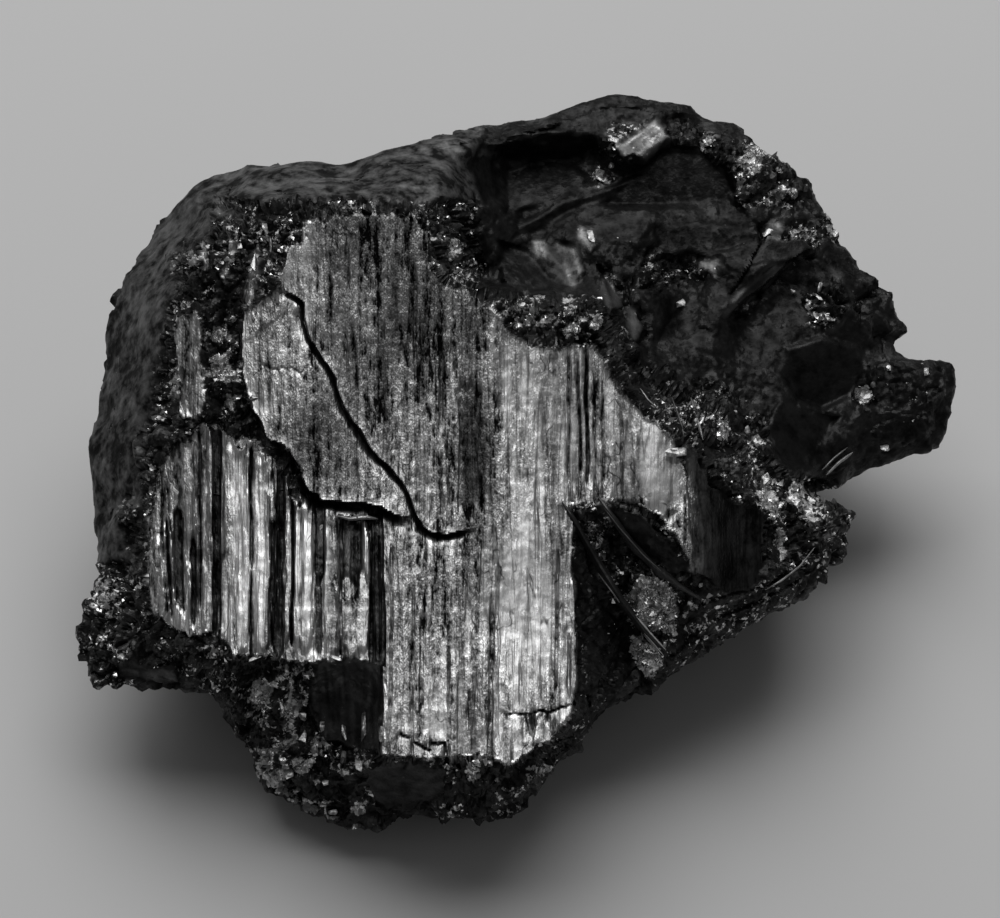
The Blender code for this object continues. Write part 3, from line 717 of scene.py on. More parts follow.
# Each facet's second number is how bright it is painted: painted highlight where high, painted shade where
# low.
FACETS = (
    # the rim, and breaks under it painted bright as highlights
    Facet(((0, 32.2), (6, 34.1), (10, 35.3), (14, 36), (17.2, 35.9), (15.5, 34.1), (12, 34.3),
        (9.6, 33.1), (6, 32.8)), 0.08, grit=0.4),
    Facet(((17.2, 35.8), (20, 35.5), (23.5, 33.7), (22.5, 32.7), (20, 33.9), (16.4, 34.2)), 0.06,
        grit=0.4),
    Facet(((10.3, 32.9), (11.2, 33.8), (14, 34), (14.6, 33.6), (13.4, 32.5), (11.6, 31.3), (10.6, 31.7)),
        0.5, 0.1, -0.35, 0.55, 0.25),
    Facet(((15.5, 34.2), (16, 33.3), (16.8, 32.4), (15.9, 31.3), (15, 30.8), (14.5, 29.8), (13.3, 30.2),
        (12.2, 29.8), (11.8, 30.7), (11, 31.1), (12.4, 31.9), (13.3, 32.5), (14.1, 33.1), (14.7, 33.8)),
        0.34, 0, -0.3, 0.25, 0.2),
    Facet(((16.6, 34), (18.4, 34.6), (20, 33.8), (20.6, 31.9), (19, 31.2), (17.3, 31.6)), 0.1, 0, -0.15,
        0.7),
    Facet(((20.4, 33.6), (21.6, 33.3), (22.2, 31.4), (21.2, 31), (20.7, 31.9)), 0.35, 0.2, -0.2, 0.4),
    Facet(((8.9, 28.3), (9.8, 29.4), (11.3, 28.7), (12, 27.9), (10.2, 27)), 0.6, 0, -0.4, 0.5, 0.4),
    # the hollow, painted dark as shade
    Facet(((-1, 31.4), (2, 32), (4.5, 31.8), (6, 32.6), (9.2, 32.3), (9.8, 30.9), (7, 29.6), (4, 29.8),
        (0.5, 29.3)), 0.035, 0, 0.25, 0.3),
    Facet(((-1.6, 31.9), (-0.8, 30.7), (0, 26.3), (-1.4, 25.4), (-3, 29.9)), 0.02, 0.3, 0),
    Facet(((0.5, 29.1), (4.5, 29.6), (7.5, 29.4), (8.8, 28.1), (7.5, 26.4), (4, 25.4), (0.5, 24.4)),
        0.022, grit=0.25),
    Facet(((1.2, 21.9), (2.2, 23.7), (6, 25.6), (10, 26.9), (14, 28.7), (16.2, 30.7), (15.5, 28.3),
        (12, 26.3), (7.5, 24.7), (4.5, 23.1)), 0.025, -0.1, 0.2, 0.15, 0.2),
    Facet(((14.2, 28.7), (16.4, 30.9), (20, 30.9), (22.6, 29.3), (23.6, 26.5), (20, 25.5), (16.2, 25.1),
        (11.6, 25.1), (10, 25.5)), 0.004, 0, 0.2, 0.2),
    Facet(((6.5, 21.9), (10, 24.4), (15.5, 24.7), (14.5, 22.3), (11, 21.3)), 0.02, grit=0.35),
    Facet(((15, 23.4), (20, 23.7), (24.2, 23.5), (25.6, 21.9), (23, 20.5), (19, 20.2), (16, 21.1)), 0.015,
        0, 0.15, 0.25),
    # breaks along the foot of the cliff
    Facet(((3, 20.9), (5.6, 21.9), (7.8, 21.2), (8.4, 18.7), (7.4, 16.8), (5.6, 17.1), (4.3, 19.1)), 0.05,
        0.05, -0.1, 0.25),
    Facet(((3.1, 21.9), (4.5, 21.8), (5.6, 19.7), (5, 19.1), (3.9, 20.2)), 0.24, 0.1, -0.25, 0.2, 0.1,
        0.6),
    Facet(((5.6, 21.8), (7.8, 21.4), (8.5, 18.9), (7.6, 16.8), (6.6, 17.7), (6.1, 19.7)), 0.22, 0.1,
        -0.28, 0.2, 0.15, 0.6),
    Facet(((0, 21.7), (2.8, 20.9), (4.5, 18.7), (5.2, 16.7), (1.5, 16.3), (0, 17.9)), 0.035, -0.2, 0,
        0.25),
    Facet(((8, 23.3), (9.2, 23.1), (9.8, 21.3), (9, 20.6), (8.2, 21.9)), 0.2, 0, -0.25, 0.2),
    Facet(((9.8, 19.3), (11.1, 17.8), (12.2, 15.3), (11, 14.2), (9.8, 16.5)), 0.26, 0.1, -0.28, 0.2),
    Facet(((12.6, 14.9), (13.8, 15.4), (14.6, 12.9), (13.6, 11.7), (12.4, 12.5)), 0.28, 0, -0.28, 0.2),
    Facet(((19.3, 20.1), (22.2, 20.3), (21.6, 18), (20.4, 18.5)), 0.24, 0, -0.3, 0.2),
    Facet(((26.3, 23.3), (27.8, 23.7), (28.6, 22.7), (28, 21.6), (26.6, 21.9)), 0.24, 0, -0.3, 0.25,
        0.15),
    Facet(((10.4, 21.5), (15, 21.3), (14.4, 18.5), (11.2, 18.3)), 0.03, grit=0.5),
    # the right end
    Facet(((22.4, 13.7), (24.4, 15.6), (26.6, 17.3), (28.8, 19.5), (27.6, 19.7), (25.7, 18.2),
        (23.6, 16.3), (22.2, 14.9)), 0.07, 0, -0.15),
    Facet(((26.8, 21.9), (30.2, 22.1), (31.4, 21.3), (28.8, 19.7), (26.6, 19.7), (24.8, 19.1),
        (25.7, 21.1)), 0.03, 0, 0.2),
    Facet(((23.5, 12.1), (27, 14.7), (29.5, 15.7), (31.2, 13.9), (29, 11.5), (24.4, 10.4)), 0.02,
        grit=0.35),
    Facet(((28.6, 11.2), (32.2, 12.3), (35.8, 11.3), (36.3, 8.5), (35, 6.1), (32.2, 4.8), (29.6, 5.9),
        (28.2, 8.7)), 0.005, 0.1, 0.3, 0),
    Facet(((28, 5.9), (30, 4.9), (33.8, 4.1), (32.2, 1.5), (29.5, -1.1), (27.8, 0.1), (26.6, 2.3),
        (27, 4.1)), 0.012, 0, 0.2),
    Facet(((36.6, 9.7), (40.5, 10.4), (44.5, 9.7), (45.1, 6.9), (43, 5.4), (39.5, 4.7), (36.8, 5.9)),
        0.14, 0, 0.1, 0.5),
    Facet(((36.2, 5.5), (39.5, 4.5), (43.2, 5.1), (43.4, 2.7), (40.5, 1.3), (37, 1.9), (34.6, 2.9)), 0.13,
        0, 0.2, 0.5),
    Facet(((36.6, 16.1), (38.2, 16.1), (40.5, 13.4), (40.8, 12), (38.6, 12.5), (36.8, 13.9)), 0.05, 0,
        -0.1, 0.4),
    # the pocket's walls, painted dark as shade, and the layered band under the tip
    Facet(((7, -5.7), (8, -6.1), (9.2, -10.1), (11.2, -14.1), (14, -19.1), (14.8, -23.1), (12, -25.7),
        (9.2, -26.3), (6.8, -24.1)), 0.14, 0.2, 0, 0.6),
    Facet(((10, -4.6), (14, -5.3), (16.8, -8.1), (19, -10.7), (16.8, -11.3), (14, -9.7), (11.5, -7.1)),
        0.05, 0, 0.2, 0.3),
    Facet(((19, -13.9), (24, -13.3), (29, -11.3), (32, -8.6), (34.6, -6.1), (35, -8.6), (32.8, -12.1),
        (29, -14.7), (24, -16.9), (20, -19.1), (16.8, -23.1), (14.8, -23.1), (16, -19.1)), 0.36,
        grit=0.55, flat=0),
    # the front under the apron, the foot's underside and the hollow beside them, painted dark as shade
    Facet(((-13.4, -30.9), (-11.2, -30.2), (-8.8, -30.7), (-5.4, -30.9), (-5.6, -33.3), (-8, -34.9),
        (-11, -35.3), (-12.8, -34.1)), 0.035, 0, 0.1, 0.3, flat=0.7),
    Facet(((-8.8, -32.1), (-7, -31.3), (-5.4, -31.1), (-5.8, -33.1), (-7.6, -34.1), (-9, -33.9)), 0.05, 0,
        0, 0.25, flat=0.5),
    Facet(((-18.2, -19.7), (-15, -19.1), (-11.7, -19.6), (-11.6, -28.6), (-14.8, -29.3), (-17.4, -27.9),
        (-19.2, -24.1)), 0.12, grit=0.3, flat=0.2),
    # patches of grains in the pocket, painted light as highlights
    Facet(((13, -13.1), (14, -12.1), (15.5, -11.8), (17.6, -13.5), (18.1, -15.7), (17, -17.5),
        (15.2, -17.1), (13.7, -15.3)), 1.7, 0.1, -0.3, 0.8, 0.1, 0.5),
    Facet(((12.8, -18.2), (14, -17.7), (15.2, -18.9), (16.4, -20.5), (15.4, -21.9), (13.7, -20.9)), 1.6,
        0.1, -0.3, 0.8, 0, 0.5),
    # a worn break at the lower left
    Facet(((-38, -20.4), (-32.5, -20.9), (-32.2, -22.3), (-35, -22.1), (-37.8, -21.7)), 0.09, 0, 0, 0.25),
)


# ---- Mesh helpers ----


def read_places(mesh: bpy.types.Mesh) -> Array:
    """The mesh's vertices, one place to a row.

    Args:
        mesh: the mesh.

    Returns:
        The places, in metres.
    """
    flat = np.empty(len(mesh.vertices) * 3)
    mesh.vertices.foreach_get("co", flat)
    return flat.reshape(-1, 3)


def write_places(mesh: bpy.types.Mesh, places: Array) -> None:
    """Moves the mesh's vertices to the places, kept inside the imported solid's box.

    Args:
        mesh: the mesh.
        places: one place to a row, in metres.
    """
    low, high = (np.array(corner) for corner in CAD_BOX)
    mesh.vertices.foreach_set("co", np.clip(places, low, high).ravel())
    mesh.update()


def read_normals(mesh: bpy.types.Mesh) -> Array:
    """The mesh's vertex normals, one to a row.

    Args:
        mesh: the mesh.

    Returns:
        The unit normals.
    """
    flat = np.empty(len(mesh.vertices) * 3)
    mesh.vertices.foreach_get("normal", flat)
    return flat.reshape(-1, 3)


def store_map(mesh: bpy.types.Mesh, u: Array, v: Array) -> None:
    """Stores one pair of numbers for each vertex as the mesh's UV map.

    Args:
        mesh: the mesh.
        u, v: the numbers, one of each for each vertex.
    """
    layer = mesh.uv_layers.new(name="fibre_map")
    corner = np.empty(len(mesh.loops), np.int64)
    mesh.loops.foreach_get("vertex_index", corner)
    layer.data.foreach_set("uv", np.stack([u[corner], v[corner]], axis=1).ravel())


def store_values(mesh: bpy.types.Mesh, name: str, values: Array) -> None:
    """Stores one number for each vertex under that name."""
    attribute = mesh.attributes.new(name, "FLOAT", "POINT")
    attribute.data.foreach_set("value", values.astype(np.float32))


def shade(obj: bpy.types.Object, degrees: float) -> None:
    """Shades the object smooth but for edges sharper than the angle.

    Args:
        obj: the object.
        degrees: the angle.
    """
    bpy.ops.object.select_all(action="DESELECT")
    obj.select_set(True)
    bpy.context.view_layer.objects.active = obj
    bpy.ops.object.shade_smooth_by_angle(angle=math.radians(degrees))


def count_triangles(mesh: bpy.types.Mesh) -> int:
    """The number of triangles that the mesh is drawn with."""
    mesh.calc_loop_triangles()
    return len(mesh.loop_triangles)


# ---- The seen side ----


class Ground:
    """The plain stone's seen skin, read along sight lines on an even net."""

    # The net's step and ends and the rim left bare, in millimetres; the widest reach is in steps.
    STEP = 0.3
    LOW = (-44.1, -39.0)
    HIGH = (47.7, 38.1)
    WIDEST = 15
    BARE_RIM = 0.7
    BARE_STEEP = 2.5

    def __init__(self, sight: Sight, stone: bpy.types.Object) -> None:
        """Reads the net.

        Args:
            sight: the sight frame.
            stone: the plain stone.
        """
        tree = BVHTree.FromObject(stone, bpy.context.evaluated_depsgraph_get())
        rights = np.arange(self.LOW[0], self.HIGH[0], self.STEP)
        ups = np.arange(self.LOW[1], self.HIGH[1], self.STEP)
        self.shape = (len(ups), len(rights))
        right, up = (side.ravel() for side in np.meshgrid(rights, ups))
        eye = Vector(sight.eye)
        ends = sight.places(right, up, np.zeros(len(right)))
        hits = [tree.ray_cast(eye, Vector(end) - eye)[0] or (math.nan,) * 3 for end in ends]
        toward = sight.sighted(np.array([tuple(hit) for hit in hits]))[2].reshape(self.shape)
        self.depth = self.depth_inside(~np.isnan(toward))
        self.toward = self.soften(self.grow(toward), 2)
        steps = np.gradient(self.toward, self.STEP)
        self.facing = 1 / np.sqrt(1 + steps[0] ** 2 + steps[1] ** 2)

    def depth_inside(self, solid: Array) -> Array:
        """How far each point of the net lies inside the stone's outline, in millimetres.

        Args:
            solid: which points of the net lie on the stone.

        Returns:
            The depths, on the net.
        """
        depth = np.where(solid, 1e3, -self.STEP)
        for _ in range(self.WIDEST):
            for way in product((-1, 0, 1), repeat=2):
                if way != (0, 0):
                    further = np.roll(depth, way, axis=(0, 1)) + self.STEP * math.hypot(*way)
                    depth = np.where(solid, np.minimum(depth, further), depth)
        return np.minimum(depth, self.WIDEST * self.STEP)

    def grow(self, values: Array) -> Array:
        """Fills the net past the outline with what lies nearest.

        Args:
            values: the net, with NaN where it is empty.

        Returns:
            The filled net.
        """
        for _ in range(self.WIDEST):
            for axis, way in ((0, 1), (0, -1), (1, 1), (1, -1)):
                values = np.where(np.isnan(values), np.roll(values, way, axis=axis), values)
        return np.nan_to_num(values)

    def soften(self, values: Array, times: int) -> Array:
        """Evens the net out a little.

        Args:
            values: the net.
            times: how often it is evened out.

        Returns:
            The softer net.
        """
        for _ in range(times):
            for axis in (0, 1):
                sides = np.roll(values, 1, axis=axis) + np.roll(values, -1, axis=axis)
                values = 0.5 * values + 0.25 * sides
        return values

    def read(self, values: Array, right: Array, up: Array) -> Array:
        """Reads a net of values between its points.

        Args:
            values: the net.
            right, up: the places, in millimetres.

        Returns:
            One value for each place.
        """
        across = np.clip((right - self.LOW[0]) / self.STEP, 0, self.shape[1] - 1.001)
        along = np.clip((up - self.LOW[1]) / self.STEP, 0, self.shape[0] - 1.001)
        column, row = across.astype(int), along.astype(int)
        x, y = across - column, along - row
        return (
            (values[row, column] * (1 - x) + values[row, column + 1] * x) * (1 - y)
            + (values[row + 1, column] * (1 - x) + values[row + 1, column + 1] * x) * y
        )

    def covered(self, right: Array, up: Array) -> Array:
        """How far each place lies inside the part of the seen side that the skins cover.

        Args:
            right, up: the places, in millimetres.

        Returns:
            One distance for each place, negative outside.
        """
        depth = self.read(self.depth, right, up)
        steep = 1 - ramp(self.read(self.facing, right, up), 0.2, 0.35)
        return depth - self.BARE_RIM - self.BARE_STEEP * steep * ramp(-depth, -4.3, -2.0)

    def plane(self, facet: Facet) -> tuple[float, float, float]:
        """The plane that fits the ground inside a facet, leaned as the facet asks.

        Args:
            facet: the facet.

        Returns:
            How much the plane rises to the right and up, and its height at right 0, up 0.
        """
        rows, columns = np.indices(self.shape)
        right = (self.LOW[0] + columns * self.STEP).ravel()
        up = (self.LOW[1] + rows * self.STEP).ravel()
        within = inside(facet.outline, right, up) > 0
        x, y, z = right[within], up[within], self.toward.ravel()[within]
        fit = np.linalg.lstsq(np.stack([x, y, np.ones(len(x))], axis=1), z, rcond=None)[0]
        rise_right, rise_up = fit[0] + facet.lean_right, fit[1] + facet.lean_up
        start = z.mean() + facet.lift - rise_right * x.mean() - rise_up * y.mean()
        return rise_right, rise_up, start


@dataclass(frozen=True)
class FaceSizes:
    """Sizes of the striated face, in millimetres; a strand is a height, a width and a length."""

    level: float = 14.0
    fall: float = 0.27
    sag: float = 0.6
    left_start: float = -15.0
    left_width: float = 17.0
    left_drop: float = 3.5
    right_start: float = 15.0
    right_bend: float = 0.024
    ridged_drop: float = 0.6
    fan_lean: float = -0.05
    fan_height: float = -12.0
    broad: Strand = (0.07, 2.9, 40.0)
    cords: Strand = (0.045, 0.75, 9.0)
    threads: Strand = (0.035, 0.34, 5.0)
    grooves: Strand = (-0.13, 0.4, 11.0)
    mottle: float = 0.035
    swell: float = 0.12
    break_depth: float = 0.7


@dataclass(frozen=True)
class SkinSizes:
    """Sizes of the broken skin, in millimetres: each a width, a height and, for crumbs, a sway."""

    boulder: tuple[float, float, float] = (5.5, 1.1, 1.5)
    lump: tuple[float, float, float] = (2.6, 0.8, 1.0)
    crumb: tuple[float, float, float] = (1.1, 0.4, 0.4)
    crystal: tuple[float, float, float] = (0.5, 0.2, 0.1)
    facet: tuple[float, float] = (3.8, 0.45)
    knob: tuple[float, float] = (1.9, 0.16)


@dataclass
class Zones:
    """How strongly each place belongs to each kind of skin, from 0 to 1, and the light and shade painted on
    it.
    """

    fibrous: Array
    striated: Array
    hackly: Array
    dull: Array
    smooth: Array
    painted_gleam: Array
    grit: Array


class SeenSide:
    """One description of the side that shows: its height, its breaks and the highlights and shade painted on
    it.
    """

    def __init__(
        self, sight: Sight, noise: Noise, ground: Ground,
        face: FaceSizes = FaceSizes(), skin: SkinSizes = SkinSizes(),
    ) -> None:
        """Keeps the sight frame, the noise, the ground and the sizes, and fits the facets.

        Args:
            sight: the sight frame.
            noise: the noise that its skin is drawn from.
            ground: the plain stone's seen skin.
            face, skin: the sizes of the two kinds of skin.
        """
        self.sight = sight
        self.noise = noise
        self.ground = ground
        self.face = face
        self.skin = skin
        self.planes = [ground.plane(facet) for facet in FACETS]

    def fibre(self, right: Array, up: Array) -> Array:
        """Which fibre each place lies on; the fibres fan out at the lower left.

        Args:
            right, up: the places, in millimetres.

        Returns:
            How far right each place's fibre lies, in millimetres.
        """
        lean = self.face.fan_lean * ramp(-right, 27.5, 33.5)
        run = np.clip(up - self.face.fan_height, -9, 13)
        wander = 0.16 * self.noise.stretched(right, up, 6.0, 9.0, 70)
        return right - lean * run + wander

    def plain_face(self, right: Array, up: Array) -> Array:
        """The plain face's distance toward the eye, in millimetres.

        Args:
            right, up: the places, in millimetres.

        Returns:
            One height for each place.
        """
        f = self.face
        left = np.maximum(0, f.left_start - right) / f.left_width
        far = np.maximum(0, right - f.right_start)
        sag = f.sag * ((up / 20) ** 2 - 1)
        ridged = f.ridged_drop * ramp(inside(RIDGED_OUTLINE, right, up), -0.3, 2.5)
        return f.level - f.fall * up + sag - f.left_drop * left**2 - f.right_bend * far**2 - ridged

    def striated(self, right: Array, up: Array) -> Array:
        """1 on the striated face, 0 off it; its rim is torn at the top and the left.

        Args:
            right, up: the places, in millimetres.

        Returns:
            One share for each place.
        """
        depth = inside(FACE_OUTLINE, right, up)
        torn = np.maximum(ramp(up, 17, 22), ramp(-right, 25, 30) * ramp(up, -4, 4))
        fine = 0.35 * self.noise.stretched(right, up, 0.45, 2.2, 71)
        rough = 0.9 * (self.noise.stretched(right, up, 1.1, 4.5, 72) - 0.6)
        rough = rough + 0.8 * self.noise.layers(np.stack([right, up * 0.6], axis=1) / 0.7, 3, 79)
        broken = inside(BREAK_OUTLINE, right, up) + 0.8 * self.noise.stretched(right, up, 1.0, 1.2, 76)
        whole = ramp(depth + fine + torn * rough, -0.12, 0.12) * ramp(-broken, -0.1, 0.15)
        slivers = np.maximum.reduce([inside(outline, right, up) for outline in SLIVERS])
        slivers = slivers + 0.5 * self.noise.layers(np.stack([right, up * 0.4], axis=1) / 0.5, 2, 77)
        return np.maximum(whole, ramp(slivers, -0.15, 0.15))

    def striae(self, right: Array, up: Array) -> Array:
        """Fine ridges and grooves along the fibres, in millimetres.

        Args:
            right, up: the places, in millimetres.

        Returns:
            One height for each place.
        """
        fibre = self.fibre(right, up)
        stretched = self.noise.stretched
        ridged = ramp(inside(RIDGED_OUTLINE, right, up), -0.5, 0.5)
        middle = ramp(inside(MIDDLE_OUTLINE, right, up), -0.3, 0.5)
        upper = ramp(-beside(UPPER_SHEET_EDGE.line, right, up)[0], -6, 6)
        strength = (0.75 + 0.5 * stretched(right, up, 4, 9, 73)) * (1 + 0.3 * ridged) * (1 - 0.8 * middle)
        face = self.face
        broad, cords, threads = (
            height * stretched(fibre, up, width, length, channel)
            for channel, (height, width, length) in enumerate((face.broad, face.cords, face.threads), 1)
        )
        broken = ramp(stretched(fibre, up, 0.6, 4.5, 5), -0.1, 0.4)
        depth, width, length = face.grooves
        grooves = depth * ramp(stretched(fibre, up, width, length, 4), 0.45, 0.8) * broken
        return broad + strength * (cords + threads + grooves) * (0.8 + 0.3 * upper)

    def fine_relief(self, right: Array, up: Array) -> Array:
        """Flutes, striae and mottling of the face, in millimetres over its plain shape.

        Args:
            right, up: the places, in millimetres.

        Returns:
            One height for each place.
        """
        fibre = self.fibre(right, up)
        flutes = sum(flute.relief(fibre, up, self.noise) for flute in FLUTES)
        ridges = sum(ridge.relief(fibre, up, self.noise) for ridge in RIDGES)
        bare = ramp(-beside(MIDDLE_SHEET_EDGE.line, right, up)[0], -0.1, 0.3)
        flutes = flutes + ridges * bare
        spots = np.stack([right, up], axis=1)
        mottle = self.face.mottle * self.noise.layers(spots / 0.9, 2, 9)
        mottle = mottle + self.face.swell * self.noise.swell(spots / 8, 8)
        return flutes + self.striae(right, up) + mottle

    def toward(self, right: Array, up: Array) -> Array:
        """The seen side's distance toward the eye, but for its crumbs, in millimetres.

        Args:
            right, up: the places, in millimetres.

        Returns:
            One height for each place.
        """
        broken = self.ground.read(self.ground.toward, right, up)
        broken = broken - self.face.break_depth * ramp(inside(BREAK_OUTLINE, right, up), -0.3, 0.5)
        for facet, (rise_right, rise_up, start) in zip(FACETS, self.planes):
            share = ramp(inside(facet.outline, right, up), -0.3, 0.5) * facet.flat
            broken = broken + (rise_right * right + rise_up * up + start - broken) * share
        striated = self.striated(right, up)
        face = self.plain_face(right, up) + self.fine_relief(right, up)
        scarps = sum(scarp.relief(right, up, self.noise) for scarp in SCARPS)
        return broken + (face - broken) * striated + scarps

    def painted_sheen(self, right: Array, up: Array) -> Array:
        """The highlight painted on the polished fibres, with painted shade in grooves, seams and rim.

        Args:
            right, up: the places, in millimetres.

        Returns:
            One share for each place.
        """
        spots = np.stack([right, up], axis=1)
        streaks = self.noise.stretched(self.fibre(right, up), up, 0.8, 8.0, 24)
        painted_sheen = 1 + 0.2 * self.noise.layers(spots / 3.0, 3, 23) + 0.3 * streaks
        for smear in PAINTED_SHEENS:
            painted_sheen = painted_sheen * (1 + (smear.painted_shine - 1) * smear.weight(right, up))
        # Grooves get painted shade, and the face's outer rim is painted dimmer.
        deep = 0.9 * ramp(-self.fine_relief(right, up), 0.1, 0.42)
        painted_sheen = painted_sheen * (1 - deep) * (0.6 + 0.4 * ramp(inside(FACE_OUTLINE, right, up), -0.1, 0.3))
        for scarp in SCARPS:
            painted_sheen = painted_sheen * scarp.painted_shine(right, up)
        return painted_sheen

    def zones(self, right: Array, up: Array) -> Zones:
        """How strongly each place belongs to each kind of skin.

        Args:
            right, up: the places, in millimetres.

        Returns:
            The zones, with one share for each place.
        """
        spots = np.stack([right, up], axis=1)
        ragged = 0.5 * self.noise.layers(spots / 1.6, 2, 74)
        striated = self.striated(right, up)
        fold = ramp(inside(FOLD_OUTLINE, right, up) + 1.2 * ragged, -0.3, 0.3) * (1 - striated)
        off_face = (1 - striated) * (1 - fold)
        hackly = ramp(inside(BLOCK_OUTLINE, right, up) + ragged, -0.4, 0.4) * off_face
        dull = ramp(inside(SIDE_OUTLINE, right, up) + 1.6 * ragged, -0.5, 0.5) * off_face * (1 - hackly)
        crumbly = off_face * (1 - hackly) * (1 - dull)
        # Glints painted on the broken stone, clumped; inside each facet, its painted highlight or shade.
        painted_sparkle = 0.03 * hackly + 0.04 * dull + 0.3 * crumbly
        grit = 0.3 * hackly + 0.1 * dull + 0.8 * crumbly
        for smear in PAINTED_GLINTS:
            share = smear.weight(right, up) * off_face
            painted_sparkle = painted_sparkle + np.maximum(smear.painted_shine - painted_sparkle, 0) * share
            grit = grit + (0.95 - grit) * share
        clumps = ramp(self.noise.layers(spots / 1.4, 2, 75), -0.3, 0.4)
        painted_sparkle = painted_sparkle * (0.25 + 1.25 * clumps)
        smooth = np.zeros(len(right))
        for number, facet in enumerate(FACETS):
            share = ramp(inside(facet.outline, right, up) + 1.3 * ragged, -0.25, 0.4) * (1 - striated)
            brushed = 1 + 0.8 * facet.brushed(right, up, self.noise, 100 + number)
            painted_sparkle = painted_sparkle + (facet.painted_gleam * brushed - painted_sparkle) * share
            grit = grit + (facet.grit - grit) * share
            smooth = smooth + (1 - facet.grit - smooth) * share
            dull = dull * (1 - share)
        # The fold is painted from light by the face's edge to dark away from it, as shade.
        painted_fold_shade = 0.05 + 0.5 * ramp(inside(FACE_OUTLINE, right, up), -2.2, 0.0) ** 1.5 * ramp(-up, -1.7, 2.0)
        painted_gleam = self.painted_sheen(right, up) * (striated + painted_fold_shade * fold) + painted_sparkle * off_face
        return Zones(striated + fold, striated, hackly, dull, smooth, painted_gleam, grit)

    def crumbled(self, points: Array, zones: Zones) -> Array:
        """How far the skin's crumbs, chips and knobs stand out.

        Args:
            points: one place to a row, in millimetres.
            zones: the kinds of skin there.

        Returns:
            Millimetres along the skin's normal.
        """
        noise = self.noise
        out = np.zeros(len(points))
        warp = np.stack([noise.swell(points / 3, 40 + k) for k in range(3)], axis=1)
        broken = (1 - zones.smooth) * ramp(zones.grit, 0.12, 0.95) * (1 - zones.fibrous)
        rough = np.nonzero(broken > 0.02)[0]
        near, bent = points[rough], warp[rough]
        total = np.zeros(len(rough))
        sizes = (self.skin.boulder, self.skin.lump, self.skin.crumb, self.skin.crystal)
        for (width, height, sway), channel in zip(sizes, (45, 50, 60, 70)):
            face, seam = noise.crumbs((near + sway * bent) / width, 0.9, channel)
            total += height * (face - 0.5 * (1 - ramp(seam, 0, 0.22)))
        out[rough] += total * broken[rough]
        cut = zones.hackly * (1 - zones.smooth)
        rough = np.nonzero(cut > 0.02)[0]
        width, height = self.skin.facet
        facets = noise.facets((points[rough] + 0.8 * warp[rough]) / width, 0.8, 80)
        out[rough] += height * cut[rough] * facets
        width, height = self.skin.knob
        out += height * zones.dull * noise.layers(points / width, 3, 85)
        return out


# ---- Skins of the seen side ----


class Cover(Enum):
    """Which part of the seen side a skin covers."""

    FACE = "striated_face"
    RIM = "broken_rim"
    BLOCK = "hackly_block"


@dataclass(frozen=True)
class NetSizes:
    """A skin's net, in millimetres, and the sharpest edge it is shaded smooth over, in degrees."""

    column: float
    row: float
    overlap: float = 0.6
    tuck: float = 0.25
    skirt: float = 0.8
    margin: float = 1.0
    crease: float = 40.0


